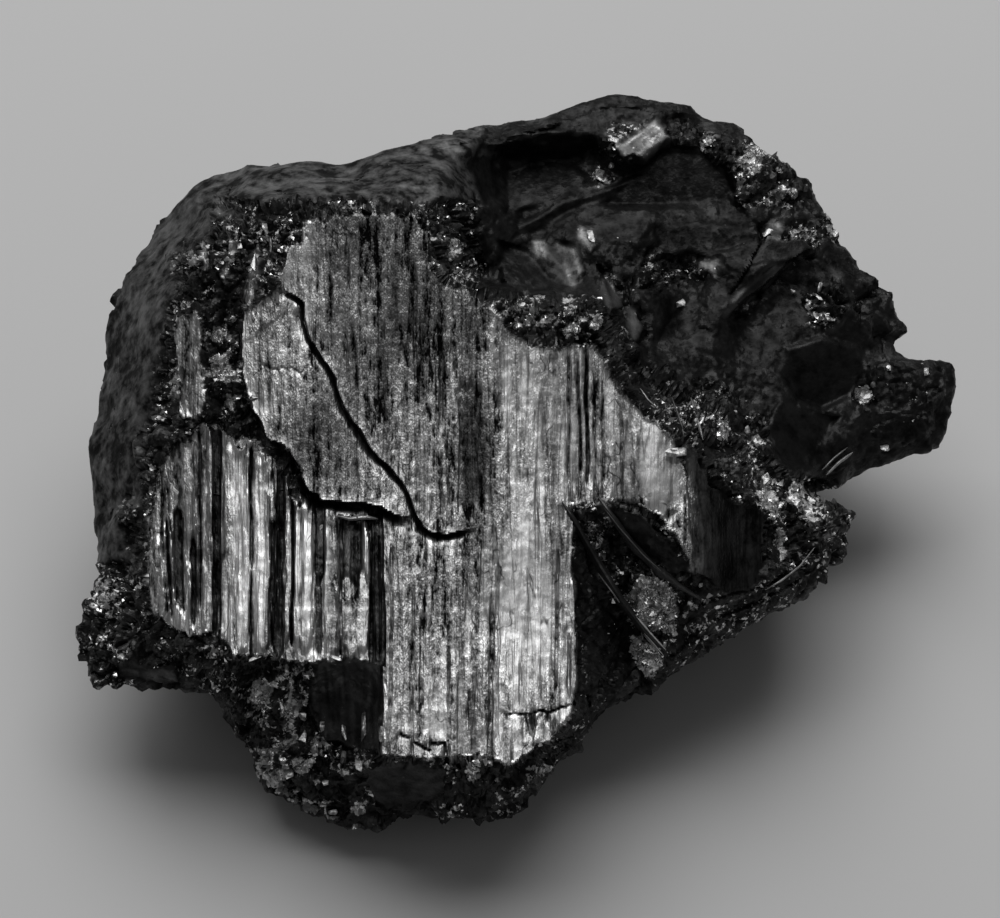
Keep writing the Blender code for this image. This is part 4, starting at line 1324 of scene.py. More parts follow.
class Skin:
    """A fine net laid over one part of the seen side."""

    def __init__(self, side: SeenSide, cover: Cover, sizes: NetSizes) -> None:
        """Keeps the seen side, the part to cover and the net's sizes.

        Args:
            side: the seen side's description.
            cover: the part to cover.
            sizes: the net's sizes.
        """
        self.side = side
        self.cover = cover
        self.sizes = sizes

    def depth(self, right: Array, up: Array) -> Array:
        """How far each place lies inside this skin's part, in millimetres.

        Args:
            right, up: the places, in millimetres.

        Returns:
            One distance for each place, negative outside.
        """
        on_face = inside(FACE_OUTLINE, right, up)
        if self.cover is Cover.FACE:
            return on_face + self.sizes.overlap
        in_block = inside(BLOCK_OUTLINE, right, up)
        outside_face = self.sizes.overlap - on_face
        own = in_block + self.sizes.overlap if self.cover is Cover.BLOCK else self.sizes.overlap - in_block
        return np.minimum(np.minimum(self.side.ground.covered(right, up), own), outside_face)

    def build(self) -> bpy.types.Object:
        """Models the skin as one net whose rim runs down into the body.

        Returns:
            The finished object, with its zones stored for the material.
        """
        s = self.sizes
        if self.cover is Cover.RIM:
            low, high = np.array(Ground.LOW), np.array(Ground.HIGH)
        else:
            outline = FACE_OUTLINE if self.cover is Cover.FACE else BLOCK_OUTLINE
            low, high = np.min(outline, axis=0) - s.margin, np.max(outline, axis=0) + s.margin
        columns, rows = ((high - low) / (s.column, s.row)).astype(int)
        bpy.ops.mesh.primitive_grid_add(x_subdivisions=columns, y_subdivisions=rows, size=1)
        skin = bpy.context.object
        skin.name = self.cover.value
        mesh = skin.data
        right, up = (low + (read_places(mesh)[:, :2] + 0.5) * (high - low)).T
        self.trim(mesh, self.depth(right, up))
        right, up = (low + (read_places(mesh)[:, :2] + 0.5) * (high - low)).T
        depth = self.depth(right, up)
        toward = self.side.toward(right, up) - s.tuck * (1 - ramp(depth, 0, 0.35))
        mesh.vertices.foreach_set("co", self.side.sight.places(right, up, toward).ravel())
        mesh.update()
        zones = self.side.zones(right, up)
        places, normals = read_places(mesh), read_normals(mesh)
        away = self.side.crumbled(places / MM, zones)
        write_places(mesh, places + normals * away[:, None] * MM)
        self.hang_skirt(mesh)
        dress(mesh, self.side)
        shade(skin, s.crease)
        return skin

    def trim(self, mesh: bpy.types.Mesh, depth: Array) -> None:
        """Takes away the net outside this skin's part.

        Args:
            mesh: the net.
            depth: how far each vertex lies inside the part.
        """
        work = bmesh.new()
        work.from_mesh(mesh)
        outer = [face for face in work.faces if min(depth[v.index] for v in face.verts) < 0]
        bmesh.ops.delete(work, geom=outer, context="FACES")
        work.to_mesh(mesh)
        work.free()

    def hang_skirt(self, mesh: bpy.types.Mesh) -> None:
        """Runs the net's rim down into the body.

        Args:
            mesh: the net.
        """
        work = bmesh.new()
        work.from_mesh(mesh)
        work.verts.ensure_lookup_table()
        rim = [edge for edge in work.edges if edge.is_boundary]
        skirt = bmesh.ops.extrude_edge_only(work, edges=rim)
        down = Vector(-self.side.sight.axes[2] * self.sizes.skirt * MM)
        for part in skirt["geom"]:
            if isinstance(part, bmesh.types.BMVert):
                part.co += down
        work.to_mesh(mesh)
        work.free()


class Unseen:
    """What the sides that can't be seen are given instead of their zones, from 0 to 1."""

    HACKLY = 0.6
    CRUMBS = 0.5
    DULL = 0.5
    GLEAM = 0.12
    GRIT = 0.6


def dress(mesh: bpy.types.Mesh, side: SeenSide, seen: Array | float = 1.0) -> None:
    """Stores what the material reads: the fibres' map, the kinds of skin and the painted highlight and
    shade.

    Args:
        mesh: the mesh.
        side: the seen side's description.
        seen: 1 where a vertex is on the seen side, 0 where it is not.
    """
    right, up, _ = side.sight.sighted(read_places(mesh))
    zones = side.zones(right, up)
    store_map(mesh, side.fibre(right, up) / 10, up / 10)
    store_values(mesh, "fibrous", zones.fibrous * seen)
    store_values(mesh, "dull", zones.dull * seen + Unseen.DULL * (1 - seen))
    store_values(mesh, "painted_gleam", zones.painted_gleam * seen + Unseen.GLEAM * (1 - seen))
    store_values(mesh, "grit", zones.grit * seen + Unseen.GRIT * (1 - seen))


# ---- Body ----


@dataclass(frozen=True)
class BodySizes:
    """Sizes of the body's skin, in millimetres, shares of its triangles, and an angle in degrees."""

    voxel: float = 0.42
    smoothing: int = 4
    covered_share: float = 0.12
    hidden_share: float = 0.5
    inset: float = 1.1
    foot: float = 0.8
    crease: float = 34.0


class StoneBody:
    """The whole stone, which shows behind, beneath and along its outline."""

    def __init__(self, sight: Sight, noise: Noise, sizes: BodySizes = BodySizes()) -> None:
        """Keeps the sight frame, the noise and the sizes, and makes the plain stone.

        Args:
            sight: the sight frame.
            noise: the noise that its skin is drawn from.
            sizes: the skin's sizes.
        """
        self.sight = sight
        self.noise = noise
        self.sizes = sizes
        self.stone = self.blank()

    def blank(self) -> bpy.types.Object:
        """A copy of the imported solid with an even, fine skin.

        Returns:
            The copy.
        """
        bpy.ops.object.select_all(action="DESELECT")
        body = bpy.data.objects.new("stone_body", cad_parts[NODE].data.copy())
        bpy.context.scene.collection.objects.link(body)
        bpy.context.view_layer.objects.active = body
        body.select_set(True)
        bpy.ops.object.mode_set(mode="EDIT")
        bpy.ops.mesh.select_all(action="SELECT")
        bpy.ops.mesh.remove_doubles(threshold=1e-6)
        bpy.ops.object.mode_set(mode="OBJECT")
        body.data.materials.clear()
        skin = body.modifiers.new("skin", "REMESH")
        skin.mode = "VOXEL"
        skin.voxel_size = self.sizes.voxel * MM
        bpy.ops.object.modifier_apply(modifier=skin.name)
        even = body.modifiers.new("even", "SMOOTH")
        even.factor = 0.5
        even.iterations = self.sizes.smoothing
        bpy.ops.object.modifier_apply(modifier=even.name)
        return body

    def under_skins(self, ground: Ground) -> Array:
        """How deep each vertex lies under the skins: 0 outside them, 1 well inside.

        Args:
            ground: the plain stone's seen skin.

        Returns:
            One share for each vertex.
        """
        mesh = self.stone.data
        right, up, toward = self.sight.sighted(read_places(mesh))
        level = ground.read(ground.toward, right, up)
        near = ramp(-np.abs(toward - level), -2.5, -1.5)
        facing = ramp(read_normals(mesh) @ self.sight.axes[2], 0.0, 0.2)
        return near * facing * ramp(ground.covered(right, up), 0.35, 0.9)

    def thin(self, ground: Ground) -> None:
        """Takes triangles away from the stone where its skins hide it.

        Args:
            ground: the plain stone's seen skin.
        """
        under = self.under_skins(ground)
        away = -(read_normals(self.stone.data) @ self.sight.axes[2])
        for name, chosen, share in (
            ("covered", under > 0.95, self.sizes.covered_share),
            ("hidden", away > 0.1, self.sizes.hidden_share),
        ):
            group = self.stone.vertex_groups.new(name=name)
            group.add(np.nonzero(chosen)[0].tolist(), 1.0, "REPLACE")
            thinning = self.stone.modifiers.new(name, "DECIMATE")
            thinning.ratio = 1 - (1 - share) * np.count_nonzero(chosen) / len(chosen)
            thinning.vertex_group = name
            thinning.vertex_group_factor = 10
        bpy.context.view_layer.objects.active = self.stone
        for name in [modifier.name for modifier in self.stone.modifiers]:
            bpy.ops.object.modifier_apply(modifier=name)
        self.stone.vertex_groups.clear()

    def build(self, side: SeenSide) -> bpy.types.Object:
        """Models the body.

        Args:
            side: the seen side, which the body follows where it shows.

        Returns:
            The finished object, with its zones stored for the material.
        """
        mesh = self.stone.data
        self.thin(side.ground)
        places, normals = read_places(mesh), read_normals(mesh)
        under = self.under_skins(side.ground)
        seen = ramp(normals @ self.sight.axes[2], -0.2, 0.05)
        right, up, toward = self.sight.sighted(places)
        zones = side.zones(right, up)
        zones.hackly = zones.hackly * seen + Unseen.HACKLY * (1 - seen)
        zones.dull = zones.dull * seen
        zones.smooth = zones.smooth * seen
        zones.grit = zones.grit * seen + Unseen.CRUMBS * (1 - seen)
        away = side.crumbled(places / MM, zones) * (1 - zones.striated * seen)
        still = 1 - ramp(-places[:, 2] / MM, -self.sizes.foot, -0.1)
        sunk = np.maximum(toward - side.toward(right, up), 0) + self.sizes.inset
        away = away * still * (1 - under) - sunk * under
        write_places(mesh, places + normals * away[:, None] * MM)
        dress(mesh, side, seen)
        shade(self.stone, self.sizes.crease)
        return self.stone


# ---- Crystals and splinters ----


# How long, wide and thick a chip may be, at unit size.
CHIP_SIZE = (1.0, 0.8, 0.5)


def chips(noise: Noise, count: int, corners: int) -> list[tuple[Array, Array]]:
    """A few chips of unit size, each as its corners and its triangles.

    Args:
        noise: what the chips are drawn from.
        count: how many different chips.
        corners: how many points each chip is wrapped around.

    Returns:
        The chips.
    """
    found = []
    for number in range(count):
        cells = np.array([(number, corner) for corner in range(corners)])
        spread = np.stack([noise.drawn(cells, 90 + k) for k in range(3)], axis=1) - 0.5
        spread *= CHIP_SIZE
        work = bmesh.new()
        for corner in spread:
            work.verts.new(corner)
        hull = bmesh.ops.convex_hull(work, input=work.verts)
        inner = set(hull["geom_interior"]) | set(hull["geom_unused"])
        bmesh.ops.delete(work, geom=list(inner), context="VERTS")
        bmesh.ops.triangulate(work, faces=work.faces)
        bmesh.ops.recalc_face_normals(work, faces=work.faces)
        work.verts.ensure_lookup_table()
        places = np.array([vertex.co for vertex in work.verts])
        index = {vertex: place for place, vertex in enumerate(work.verts)}
        triangles = np.array([[index[v] for v in face.verts] for face in work.faces])
        work.free()
        found.append((places, triangles))
    return found


@dataclass(frozen=True)
class Shard:
    """A crystal that is big enough to be placed on its own.

    Attributes:
        right, up: its middle, in millimetres.
        width, height: its size, in millimetres.
        turn: how far it is turned, in degrees, to the left.
        painted_gleam: how bright it is painted, from 0 to 1, standing in for its glint.
    """

    right: float
    up: float
    width: float
    height: float
    turn: float = 0.0
    painted_gleam: float = 0.7


SHARDS = tuple(Shard(*row) for row in (
    # the bottom left, from the ridges' lower ends down
    (-21.9, -24.2, 0.6, 2.8, 8), (-21.3, -21.1, 0.4, 1.2), (-20.3, -21.3, 0.5, 1.1),
    (-19.7, -25.7, 0.8, 0.9), (-25.1, -25.5, 0.8, 0.7), (-19.6, -27.7, 0.9, 1.4),
    (-17.8, -26.6, 0.5, 1.1), (-15.6, -27.1, 0.5, 1.9), (-15.6, -29.8, 0.6, 1.5),
    (-13.6, -26.5, 0.5, 3.4), (-14, -30.6, 0.8, 1.4), (-23.4, -30, 1.1, 1.2), (-23.3, -31.8, 1, 0.6, -20),
    (-21.2, -31.4, 1, 1.2, 20), (-18.6, -29.1, 0.8, 0.8), (-18.8, -30.2, 0.8, 0.5),
    (-19.5, -34.2, 0.6, 0.7), (-16.7, -35.3, 1, 0.6, 15), (-14.5, -36.7, 0.6, 0.6),
    (-22.4, -28.3, 0.5, 0.9, 20), (-17.5, -32.3, 0.7, 0.6), (-11.5, -22.1, 0.4, 3),
    (-11.8, -27.4, 0.5, 1.6), (-24.5, -19.9, 1.4, 0.4, 20), (-16.3, -19.9, 1.3, 0.4, -15),
    (-20.3, -33.1, 0.8, 0.5, 30), (-1, -30.3, 0.7, 0.9), (-2.2, -31.7, 0.5, 0.7), (-0.3, -32.1, 0.6, 0.5),
    # the left
    (-39.9, -14.1, 0.6, 0.8), (-38.4, -13.3, 0.7, 0.5), (-34.8, -1.1, 0.5, 0.8), (-33.7, 2.6, 0.6, 0.5),
    (-24.6, 19.7, 0.6, 1.9), (-24.8, 16.7, 0.5, 1.3), (-23.5, 23.1, 0.6, 1.1), (-22.3, 16.2, 0.5, 1.2),
    (-26, 21.3, 0.5, 0.7), (-27.8, 19.7, 0.6, 0.5), (-29.3, 21.2, 0.5, 0.5),
    # the broken edge, the tip and the block
    (17.7, 0.7, 2.2, 0.9, 5), (25.7, 1.8, 0.9, 1.1, 30), (24.7, 2.9, 0.6, 0.8), (26.4, 3.5, 0.6, 0.6),
    (22.8, 2.9, 0.6, 0.7), (23.5, 4.7, 0.5, 0.5), (26.5, -1.9, 1.1, 0.9, 30), (28.1, -2.4, 0.8, 0.7),
    (27.5, -4.1, 0.7, 1), (16, -14.1, 0.9, 1), (17.2, -15.7, 0.8, 0.7), (15.2, -15.4, 0.6, 0.8),
    (38.6, 1.2, 1, 0.9), (18.1, 15.6, 1, 0.7, 15), (38.9, 9.1, 0.5, 0.6), (42.6, 8.7, 0.5, 0.8),
    (37.3, 7.4, 0.6, 0.6), (35.8, 6.1, 0.5, 0.4), (29.3, 16.7, 0.5, 0.5), (30.8, 13.5, 0.6, 0.4, 30),
    (32.2, 15.9, 1.7, 0.35, -50), (32.8, 14.1, 1.2, 0.35, -60), (32, 17.3, 0.4, 1.1, -15),
    (10, 28.1, 0.9, 0.7), (11.2, 29.4, 0.6, 0.6), (26.8, 22.7, 1.3, 0.6, 30), (9.2, 22.3, 0.7, 1.4, 10),
))


@dataclass(frozen=True)
class CrystalSizes:
    """Numbers and sizes of the crystals on the broken skin, in millimetres."""

    count: int = 4200
    smallest: float = 0.16
    largest: float = 0.85
    rareness: float = 2.2
    shapes: int = 12
    corners: int = 9
    sunk: float = 0.05


class Crystals:
    """Small flat-faced crystals that stand out of the broken skin and catch the light."""

    def __init__(self, noise: Noise, sizes: CrystalSizes = CrystalSizes()) -> None:
        """Keeps the noise and the sizes."""
        self.noise = noise
        self.sizes = sizes

    def build(self, skins: list[bpy.types.Object]) -> bpy.types.Object:
        """Scatters the crystals over the skins, most where the most glints are painted.

        Args:
            skins: the finished skins that carry crystals, with their zones stored.

        Returns:
            One object that holds every crystal.
        """
        s = self.sizes
        generator = np.random.default_rng(self.noise.seed)
        places = np.concatenate([read_places(skin.data) for skin in skins])
        normals = np.concatenate([read_normals(skin.data) for skin in skins])
        painted_gleam, grit = (
            np.concatenate([read_values(skin.data, name) for skin in skins]) for name in ("painted_gleam", "grit")
        )
        weight = np.maximum(painted_gleam, 0) ** 2 * ramp(grit, 0.4, 0.8) * ramp(places[:, 2] / MM, 1.0, 3.0)
        chosen = generator.choice(len(places), s.count, replace=False, p=weight / weight.sum())
        shapes = chips(self.noise, s.shapes, s.corners)
        corners, triangles, start = [], [], 0
        for spot in chosen:
            shape, faces = shapes[generator.integers(len(shapes))]
            size = s.smallest + (s.largest - s.smallest) * generator.random() ** s.rareness
            place = places[spot] - normals[spot] * s.sunk * size * MM
            corners.append(place + shape @ random_turn(generator) * size * MM)
            triangles.append(faces + start)
            start += len(shape)
        return joined("crystals", corners, triangles)


def read_values(mesh: bpy.types.Mesh, name: str) -> Array:
    """The numbers that the mesh holds under that name, one for each vertex.

    Args:
        mesh: the mesh.
        name: the numbers' name.

    Returns:
        The numbers.
    """
    values = np.empty(len(mesh.vertices), np.float32)
    mesh.attributes[name].data.foreach_get("value", values)
    return values.astype(np.float64)


def joined(name: str, corners: list[Array], faces: list[Array]) -> bpy.types.Object:
    """One object from many small meshes.

    Args:
        name: the object's name.
        corners: each mesh's vertices, in metres.
        faces: each mesh's faces, numbered across all the meshes.

    Returns:
        The object.
    """
    mesh = bpy.data.meshes.new(name)
    mesh.from_pydata(np.concatenate(corners).tolist(), [], np.concatenate(faces).tolist())
    write_places(mesh, read_places(mesh))
    obj = bpy.data.objects.new(name, mesh)
    bpy.context.scene.collection.objects.link(obj)
    return obj


def random_turn(generator: np.random.Generator) -> Array:
    """A random rotation, as a matrix."""
    matrix, _ = np.linalg.qr(generator.normal(size=(3, 3)))
    return matrix * np.sign(np.linalg.det(matrix))


@dataclass(frozen=True)
class Splinter:
    """A thin blade or needle split off along the fibres.

    Attributes:
        path: its course, right and up, in millimetres.
        width, height: its width across the course, and how far it stands out.
        start, end: how far its two ends stand over the seen side.
        painted_gleam: how bright it is painted, from 0 to 1: painted highlight where high, painted shade
            where low.
    """

    path: Outline
    width: float
    height: float
    start: float
    end: float
    painted_gleam: float = 0.1


# Each splinter's last number is how bright it is painted: painted highlight where high, painted shade where
# low.
SPLINTERS = (
    # the pocket's blades, and the needles across them
    Splinter(((6.2, -4.3), (7.1, -5.6), (8.2, -7.6), (10, -10.8), (12.2, -14.3), (14.5, -17.3),
        (16.7, -19.3)), 0.85, 1, 0.3, 1, 0.08),
    Splinter(((9.8, -3.8), (11.2, -5.7), (13.2, -8.6), (15.5, -10.9), (18, -12.7), (20.2, -14.1)), 0.8,
        0.9, 0.3, 0.8, 0.1),
    Splinter(((9.8, -11.4), (11.8, -14.1), (14, -16.9), (16.4, -19.7)), 0.2, 0.35, 0.8, 1.2, 1.1),
    Splinter(((13.4, -15.5), (15, -17.4), (16.8, -19.4)), 0.24, 0.4, 0.9, 1, 1.3),
    Splinter(((14, -17.1), (15.2, -18.5), (16.1, -19.7)), 0.16, 0.3, 0.8, 0.9, 1.2),
    Splinter(((10.4, -4.9), (12.2, -7.2), (14.4, -9.7), (16.8, -11.8)), 0.14, 0.3, 0.8, 0.9, 0.45),
    # slivers along the broken edge over the tip
    Splinter(((14, 7.1), (14.8, 5.9), (15.8, 5)), 0.24, 0.4, 0.5, 0.4, 0.6),
    Splinter(((19, 6.4), (19.7, 4.1), (20.3, 1.9)), 0.26, 0.5, 0.4, 0.4, 0.6),
    Splinter(((17.2, 6.1), (18, 3.9), (18.4, 2.3)), 0.18, 0.4, 0.3, 0.3, 0.4),
    # lines under the right end, painted light as highlights
    Splinter(((32.6, -1.6), (33.8, -0.4), (35.3, 0.7)), 0.36, 0.5, 0.1, 0.1, 0.5),
    Splinter(((32.2, -1.1), (33.4, 0.1), (34.8, 1.2)), 0.18, 0.4, 0.1, 0.1, 0.35),
    Splinter(((26.5, -13.1), (28.2, -12.1), (30, -10.7), (31.5, -8.8)), 0.2, 0.3, 0.4, 0.3, 0.35),
    # the curl under the middle sheet
    Splinter(((-16.2, -5.7), (-15, -6), (-13.6, -5.8), (-12.2, -6)), 0.5, 0.5, 0.5, 0.5, 0.9),
)


@dataclass(frozen=True)
class ShardSizes:
    """How the shards are cut: numbers, then millimetres, then their grit and an angle in degrees."""

    shapes: int = 14
    corners: int = 16
    depth: float = 0.8
    rise: float = 0.3
    lean: float = -0.45
    grit: float = 0.35
    crease: float = 35.0


class Splinters:
    """Blades and needles that stand in the pocket and along broken edges, and single crystals."""

    # A splinter's section at unit size, how far apart its sections stand, in millimetres, the fewest
    # that it has, and how often its course is evened out.
    RING = ((-0.5, 0.0), (-0.22, 0.42), (0.0, 0.5), (0.28, 0.3), (0.5, -0.1), (0.15, -0.5))
    STATION = 0.35
    FEWEST_STATIONS = 6
    EVENED = 12

    def __init__(self, side: SeenSide, sizes: ShardSizes = ShardSizes()) -> None:
        """Keeps the seen side that they stand on, and how the shards are cut."""
        self.side = side
        self.sizes = sizes

    def one(self, splinter: Splinter, number: int) -> tuple[Array, Array]:
        """One splinter's corners and its faces.

        Args:
            splinter: the splinter.
            number: its place in the list, which its wobble hangs on.

        Returns:
            The corners, in metres, and the faces.
        """
        points = np.array(splinter.path)
        runs = np.concatenate([[0], np.cumsum(np.hypot(*np.diff(points, axis=0).T))])
        count = max(self.FEWEST_STATIONS, int(runs[-1] / self.STATION))
        spots = np.linspace(0, runs[-1], count)
        right, up = (np.interp(spots, runs, points[:, k]) for k in range(2))
        share = spots / runs[-1]
        over = splinter.start + (splinter.end - splinter.start) * share
        base = self.side.toward(right, up)
        for _ in range(self.EVENED):
            base[1:-1] = 0.5 * base[1:-1] + 0.25 * (base[2:] + base[:-2])
        taper = np.sqrt(np.clip(np.minimum(share / 0.3, (1 - share) / 0.25), 0.02, 1))
        wobble = 1 + 0.2 * self.side.noise.swell(np.stack([spots / 1.1, np.full(count, number)], axis=1), 97)
        course = np.stack([np.gradient(right), np.gradient(up)], axis=1)
        course /= np.linalg.norm(course, axis=1)[:, None]
        corners = []
        for x, y in self.RING:
            aside = x * splinter.width * taper * wobble
            toward = base + over + y * splinter.height * taper
            corners.append(self.side.sight.places(
                right + course[:, 1] * aside, up - course[:, 0] * aside, toward))
        corners = np.stack(corners, axis=1).reshape(-1, 3)
        sides = len(self.RING)
        faces = []
        for station in range(count - 1):
            for k in range(sides):
                a, b = station * sides + k, station * sides + (k + 1) % sides
                faces += [(a, a + sides, b + sides), (a, b + sides, b)]
        for k in range(1, sides - 1):
            last = (count - 1) * sides
            faces += [(0, k, k + 1), (last, last + k + 1, last + k)]
        return corners, np.array(faces)

    def shard(self, shard: Shard, shape: Array) -> Array:
        """One shard's corners, in metres, from those of a chip of unit size.

        Args:
            shard: the shard.
            shape: the chip's corners.

        Returns:
            The corners.
        """
        s = self.sizes
        x, y, z = ((shape - shape.mean(axis=0)) / np.ptp(shape, axis=0)).T
        angle = math.radians(shard.turn)
        x, y = x * shard.width, y * shard.height
        right = shard.right + x * math.cos(angle) - y * math.sin(angle)
        up = shard.up + x * math.sin(angle) + y * math.cos(angle)
        middle = self.side.toward(np.array([shard.right]), np.array([shard.up]))[0]
        thick = s.depth * min(shard.width, shard.height)
        return self.side.sight.places(right, up, middle + s.rise + s.lean * (up - shard.up) + thick * z)

    def build(self) -> bpy.types.Object:
        """Models every splinter and shard in one object.

        Returns:
            The finished object, with its zones stored for the material.
        """
        corners, faces, painted_gleam, grit, start = [], [], [], [], 0
        made = [
            (*self.one(splinter, number), splinter.painted_gleam, 0.0)
            for number, splinter in enumerate(SPLINTERS)
        ]
        shapes = chips(self.side.noise, self.sizes.shapes, self.sizes.corners)
        for number, shard in enumerate(SHARDS):
            shape, sides = shapes[number % len(shapes)]
            made.append((self.shard(shard, shape), sides, shard.painted_gleam, self.sizes.grit))
        for places, sides, painted_shine, rough in made:
            corners.append(places)
            faces.append(sides + start)
            painted_gleam += [painted_shine] * len(places)
            grit += [rough] * len(places)
            start += len(places)
        obj = joined("splinters", corners, faces)
        plain = np.zeros(start)
        for name, values in (
            ("fibrous", plain), ("dull", plain), ("painted_gleam", np.array(painted_gleam)), ("grit", np.array(grit)),
        ):
            store_values(obj.data, name, values)
        work = bmesh.new()
        work.from_mesh(obj.data)
        bmesh.ops.recalc_face_normals(work, faces=work.faces)
        work.to_mesh(obj.data)
        work.free()
        shade(obj, self.sizes.crease)
        return obj


# ---- Finishes ----


class Nodes:
    """A short way to write a material's nodes."""

    def __init__(self, name: str) -> None:
        """Makes the material and keeps its shader.

        Args:
            name: the material's name.
        """
        self.material = bpy.data.materials.new(name)
        self.material.use_nodes = True
        self.tree = self.material.node_tree
        self.shader = self.tree.nodes["Principled BSDF"]

    def add(self, kind: str, **settings: object) -> bpy.types.Node:
        """Adds a node with those properties.

        Args:
            kind: the node's type.
            settings: its properties.

        Returns:
            The node.
        """
        node = self.tree.nodes.new(kind)
        for key, value in settings.items():
            setattr(node, key, value)
        return node

    def link(self, source: Socket, target: Socket) -> None:
        """Joins two sockets."""
        self.tree.links.new(source, target)

    def attribute(self, name: str) -> Socket:
        """A number that the mesh holds under that name."""
        return self.add("ShaderNodeAttribute", attribute_name=name).outputs["Fac"]

    def coordinates(self, kind: str, scale: tuple[float, float, float]) -> Socket:
        """Object or UV coordinates, scaled.

        Args:
            kind: Object or UV.
            scale: the scale along each axis.

        Returns:
            The coordinates.
        """
        source = self.add("ShaderNodeTexCoord").outputs[kind]
        mapping = self.add("ShaderNodeMapping")
        mapping.inputs["Scale"].default_value = scale
        self.link(source, mapping.inputs["Vector"])
        return mapping.outputs["Vector"]

    def noise(self, place: Socket, scale: float, detail: float = 3, roughness: float = 0.55) -> Socket:
        """Noise from 0 to 1.

        Args:
            place: the coordinates.
            scale, detail, roughness: the noise's settings.

        Returns:
            The noise.
        """
        node = self.add("ShaderNodeTexNoise")
        node.inputs["Scale"].default_value = scale
        node.inputs["Detail"].default_value = detail
        node.inputs["Roughness"].default_value = roughness
        self.link(place, node.inputs["Vector"])
        return node.outputs["Fac"]

    def drawn_out(self, pattern: Pattern) -> Socket:
        """Noise drawn out along the fibres: its stretch, scale, detail and roughness."""
        stretch, scale, detail, roughness = pattern
        return self.noise(self.coordinates("UV", (1.0, stretch, 1.0)), scale, detail, roughness)

    def cells(self, place: Socket, scale: float) -> bpy.types.Node:
        """Cells, each with its own random colour.

        Args:
            place: the coordinates.
            scale: how many cells lie along one unit.

        Returns:
            The node.
        """
        node = self.add("ShaderNodeTexVoronoi")
        node.inputs["Scale"].default_value = scale
        self.link(place, node.inputs["Vector"])
        return node

    def spread(self, value: Socket, low: float, high: float, to_low: float, to_high: float) -> Socket:
        """The value's range mapped onto another, without going past its ends.

        Args:
            value: the value.
            low, high: its range.
            to_low, to_high: the range to map it onto.

        Returns:
            The mapped value.
        """
        node = self.add("ShaderNodeMapRange")
        for key, number in (
            ("From Min", low), ("From Max", high), ("To Min", to_low), ("To Max", to_high),
        ):
            node.inputs[key].default_value = number
        self.link(value, node.inputs["Value"])
        return node.outputs["Result"]

    def maths(self, operation: str, first: Socket, second: Socket | float) -> Socket:
        """Two numbers put together.

        Args:
            operation: how they are put together.
            first, second: the numbers.

        Returns:
            The result.
        """
        node = self.add("ShaderNodeMath", operation=operation)
        self.link(first, node.inputs[0])
        if isinstance(second, (int, float)):
            node.inputs[1].default_value = second
        else:
            self.link(second, node.inputs[1])
        return node.outputs[0]

    def blend(self, share: Socket, first: Socket, second: Socket) -> Socket:
        """The first number where the share is 0, the second where it is 1.

        Args:
            share: the share.
            first, second: the numbers.

        Returns:
            The result.
        """
        node = self.add("ShaderNodeMix", data_type="FLOAT")
        self.link(share, node.inputs[0])
        self.link(first, node.inputs[2])
        self.link(second, node.inputs[3])
        return node.outputs[0]

    def grey(self, value: Socket) -> Socket:
        """A grey of that lightness.

        Args:
            value: the lightness.

        Returns:
            The colour.
        """
        node = self.add("ShaderNodeCombineColor")
        for channel in ("Red", "Green", "Blue"):
            self.link(value, node.inputs[channel])
        return node.outputs[0]

    def lines(self, value: Socket, width: float) -> Socket:
        """Thin winding lines: 1 where the noise is at its middle value, 0 away from it."""
        away = self.maths("ABSOLUTE", self.maths("SUBTRACT", value, 0.5), 0)
        return self.spread(away, 0, width, 1, 0)

    def tilted(self, cells: bpy.types.Node, strength: Socket) -> Socket:
        """The skin's normal, turned another way in each cell.

        Args:
            cells: the cells' node.
            strength: how far the normal is turned.

        Returns:
            The normal.
        """
        centred = self.add("ShaderNodeVectorMath", operation="SUBTRACT")
        centred.inputs[1].default_value = (0.5, 0.5, 0.5)
        self.link(cells.outputs["Color"], centred.inputs[0])
        scaled = self.add("ShaderNodeVectorMath", operation="SCALE")
        self.link(centred.outputs["Vector"], scaled.inputs[0])
        self.link(strength, scaled.inputs["Scale"])
        total = self.add("ShaderNodeVectorMath", operation="ADD")
        self.link(scaled.outputs["Vector"], total.inputs[0])
        self.link(self.add("ShaderNodeNewGeometry").outputs["Normal"], total.inputs[1])
        unit = self.add("ShaderNodeVectorMath", operation="NORMALIZE")
        self.link(total.outputs["Vector"], unit.inputs[0])
        return unit.outputs["Vector"]

    def bump(self, layers: list[tuple[Socket, float]], start: Socket | None = None) -> None:
        """Bumps on the shader, each a height from 0 to 1 and a depth in metres.

        Args:
            layers: the bumps.
            start: the normal that they are laid on, if it is not the skin's own.
        """
        last = start
        for height, depth in layers:
            node = self.add("ShaderNodeBump")
            node.inputs["Strength"].default_value = 1.0
            node.inputs["Distance"].default_value = depth
            self.link(height, node.inputs["Height"])
            if last is not None:
                self.link(last, node.inputs["Normal"])
            last = node.outputs["Normal"]
        self.link(last, self.shader.inputs["Normal"])


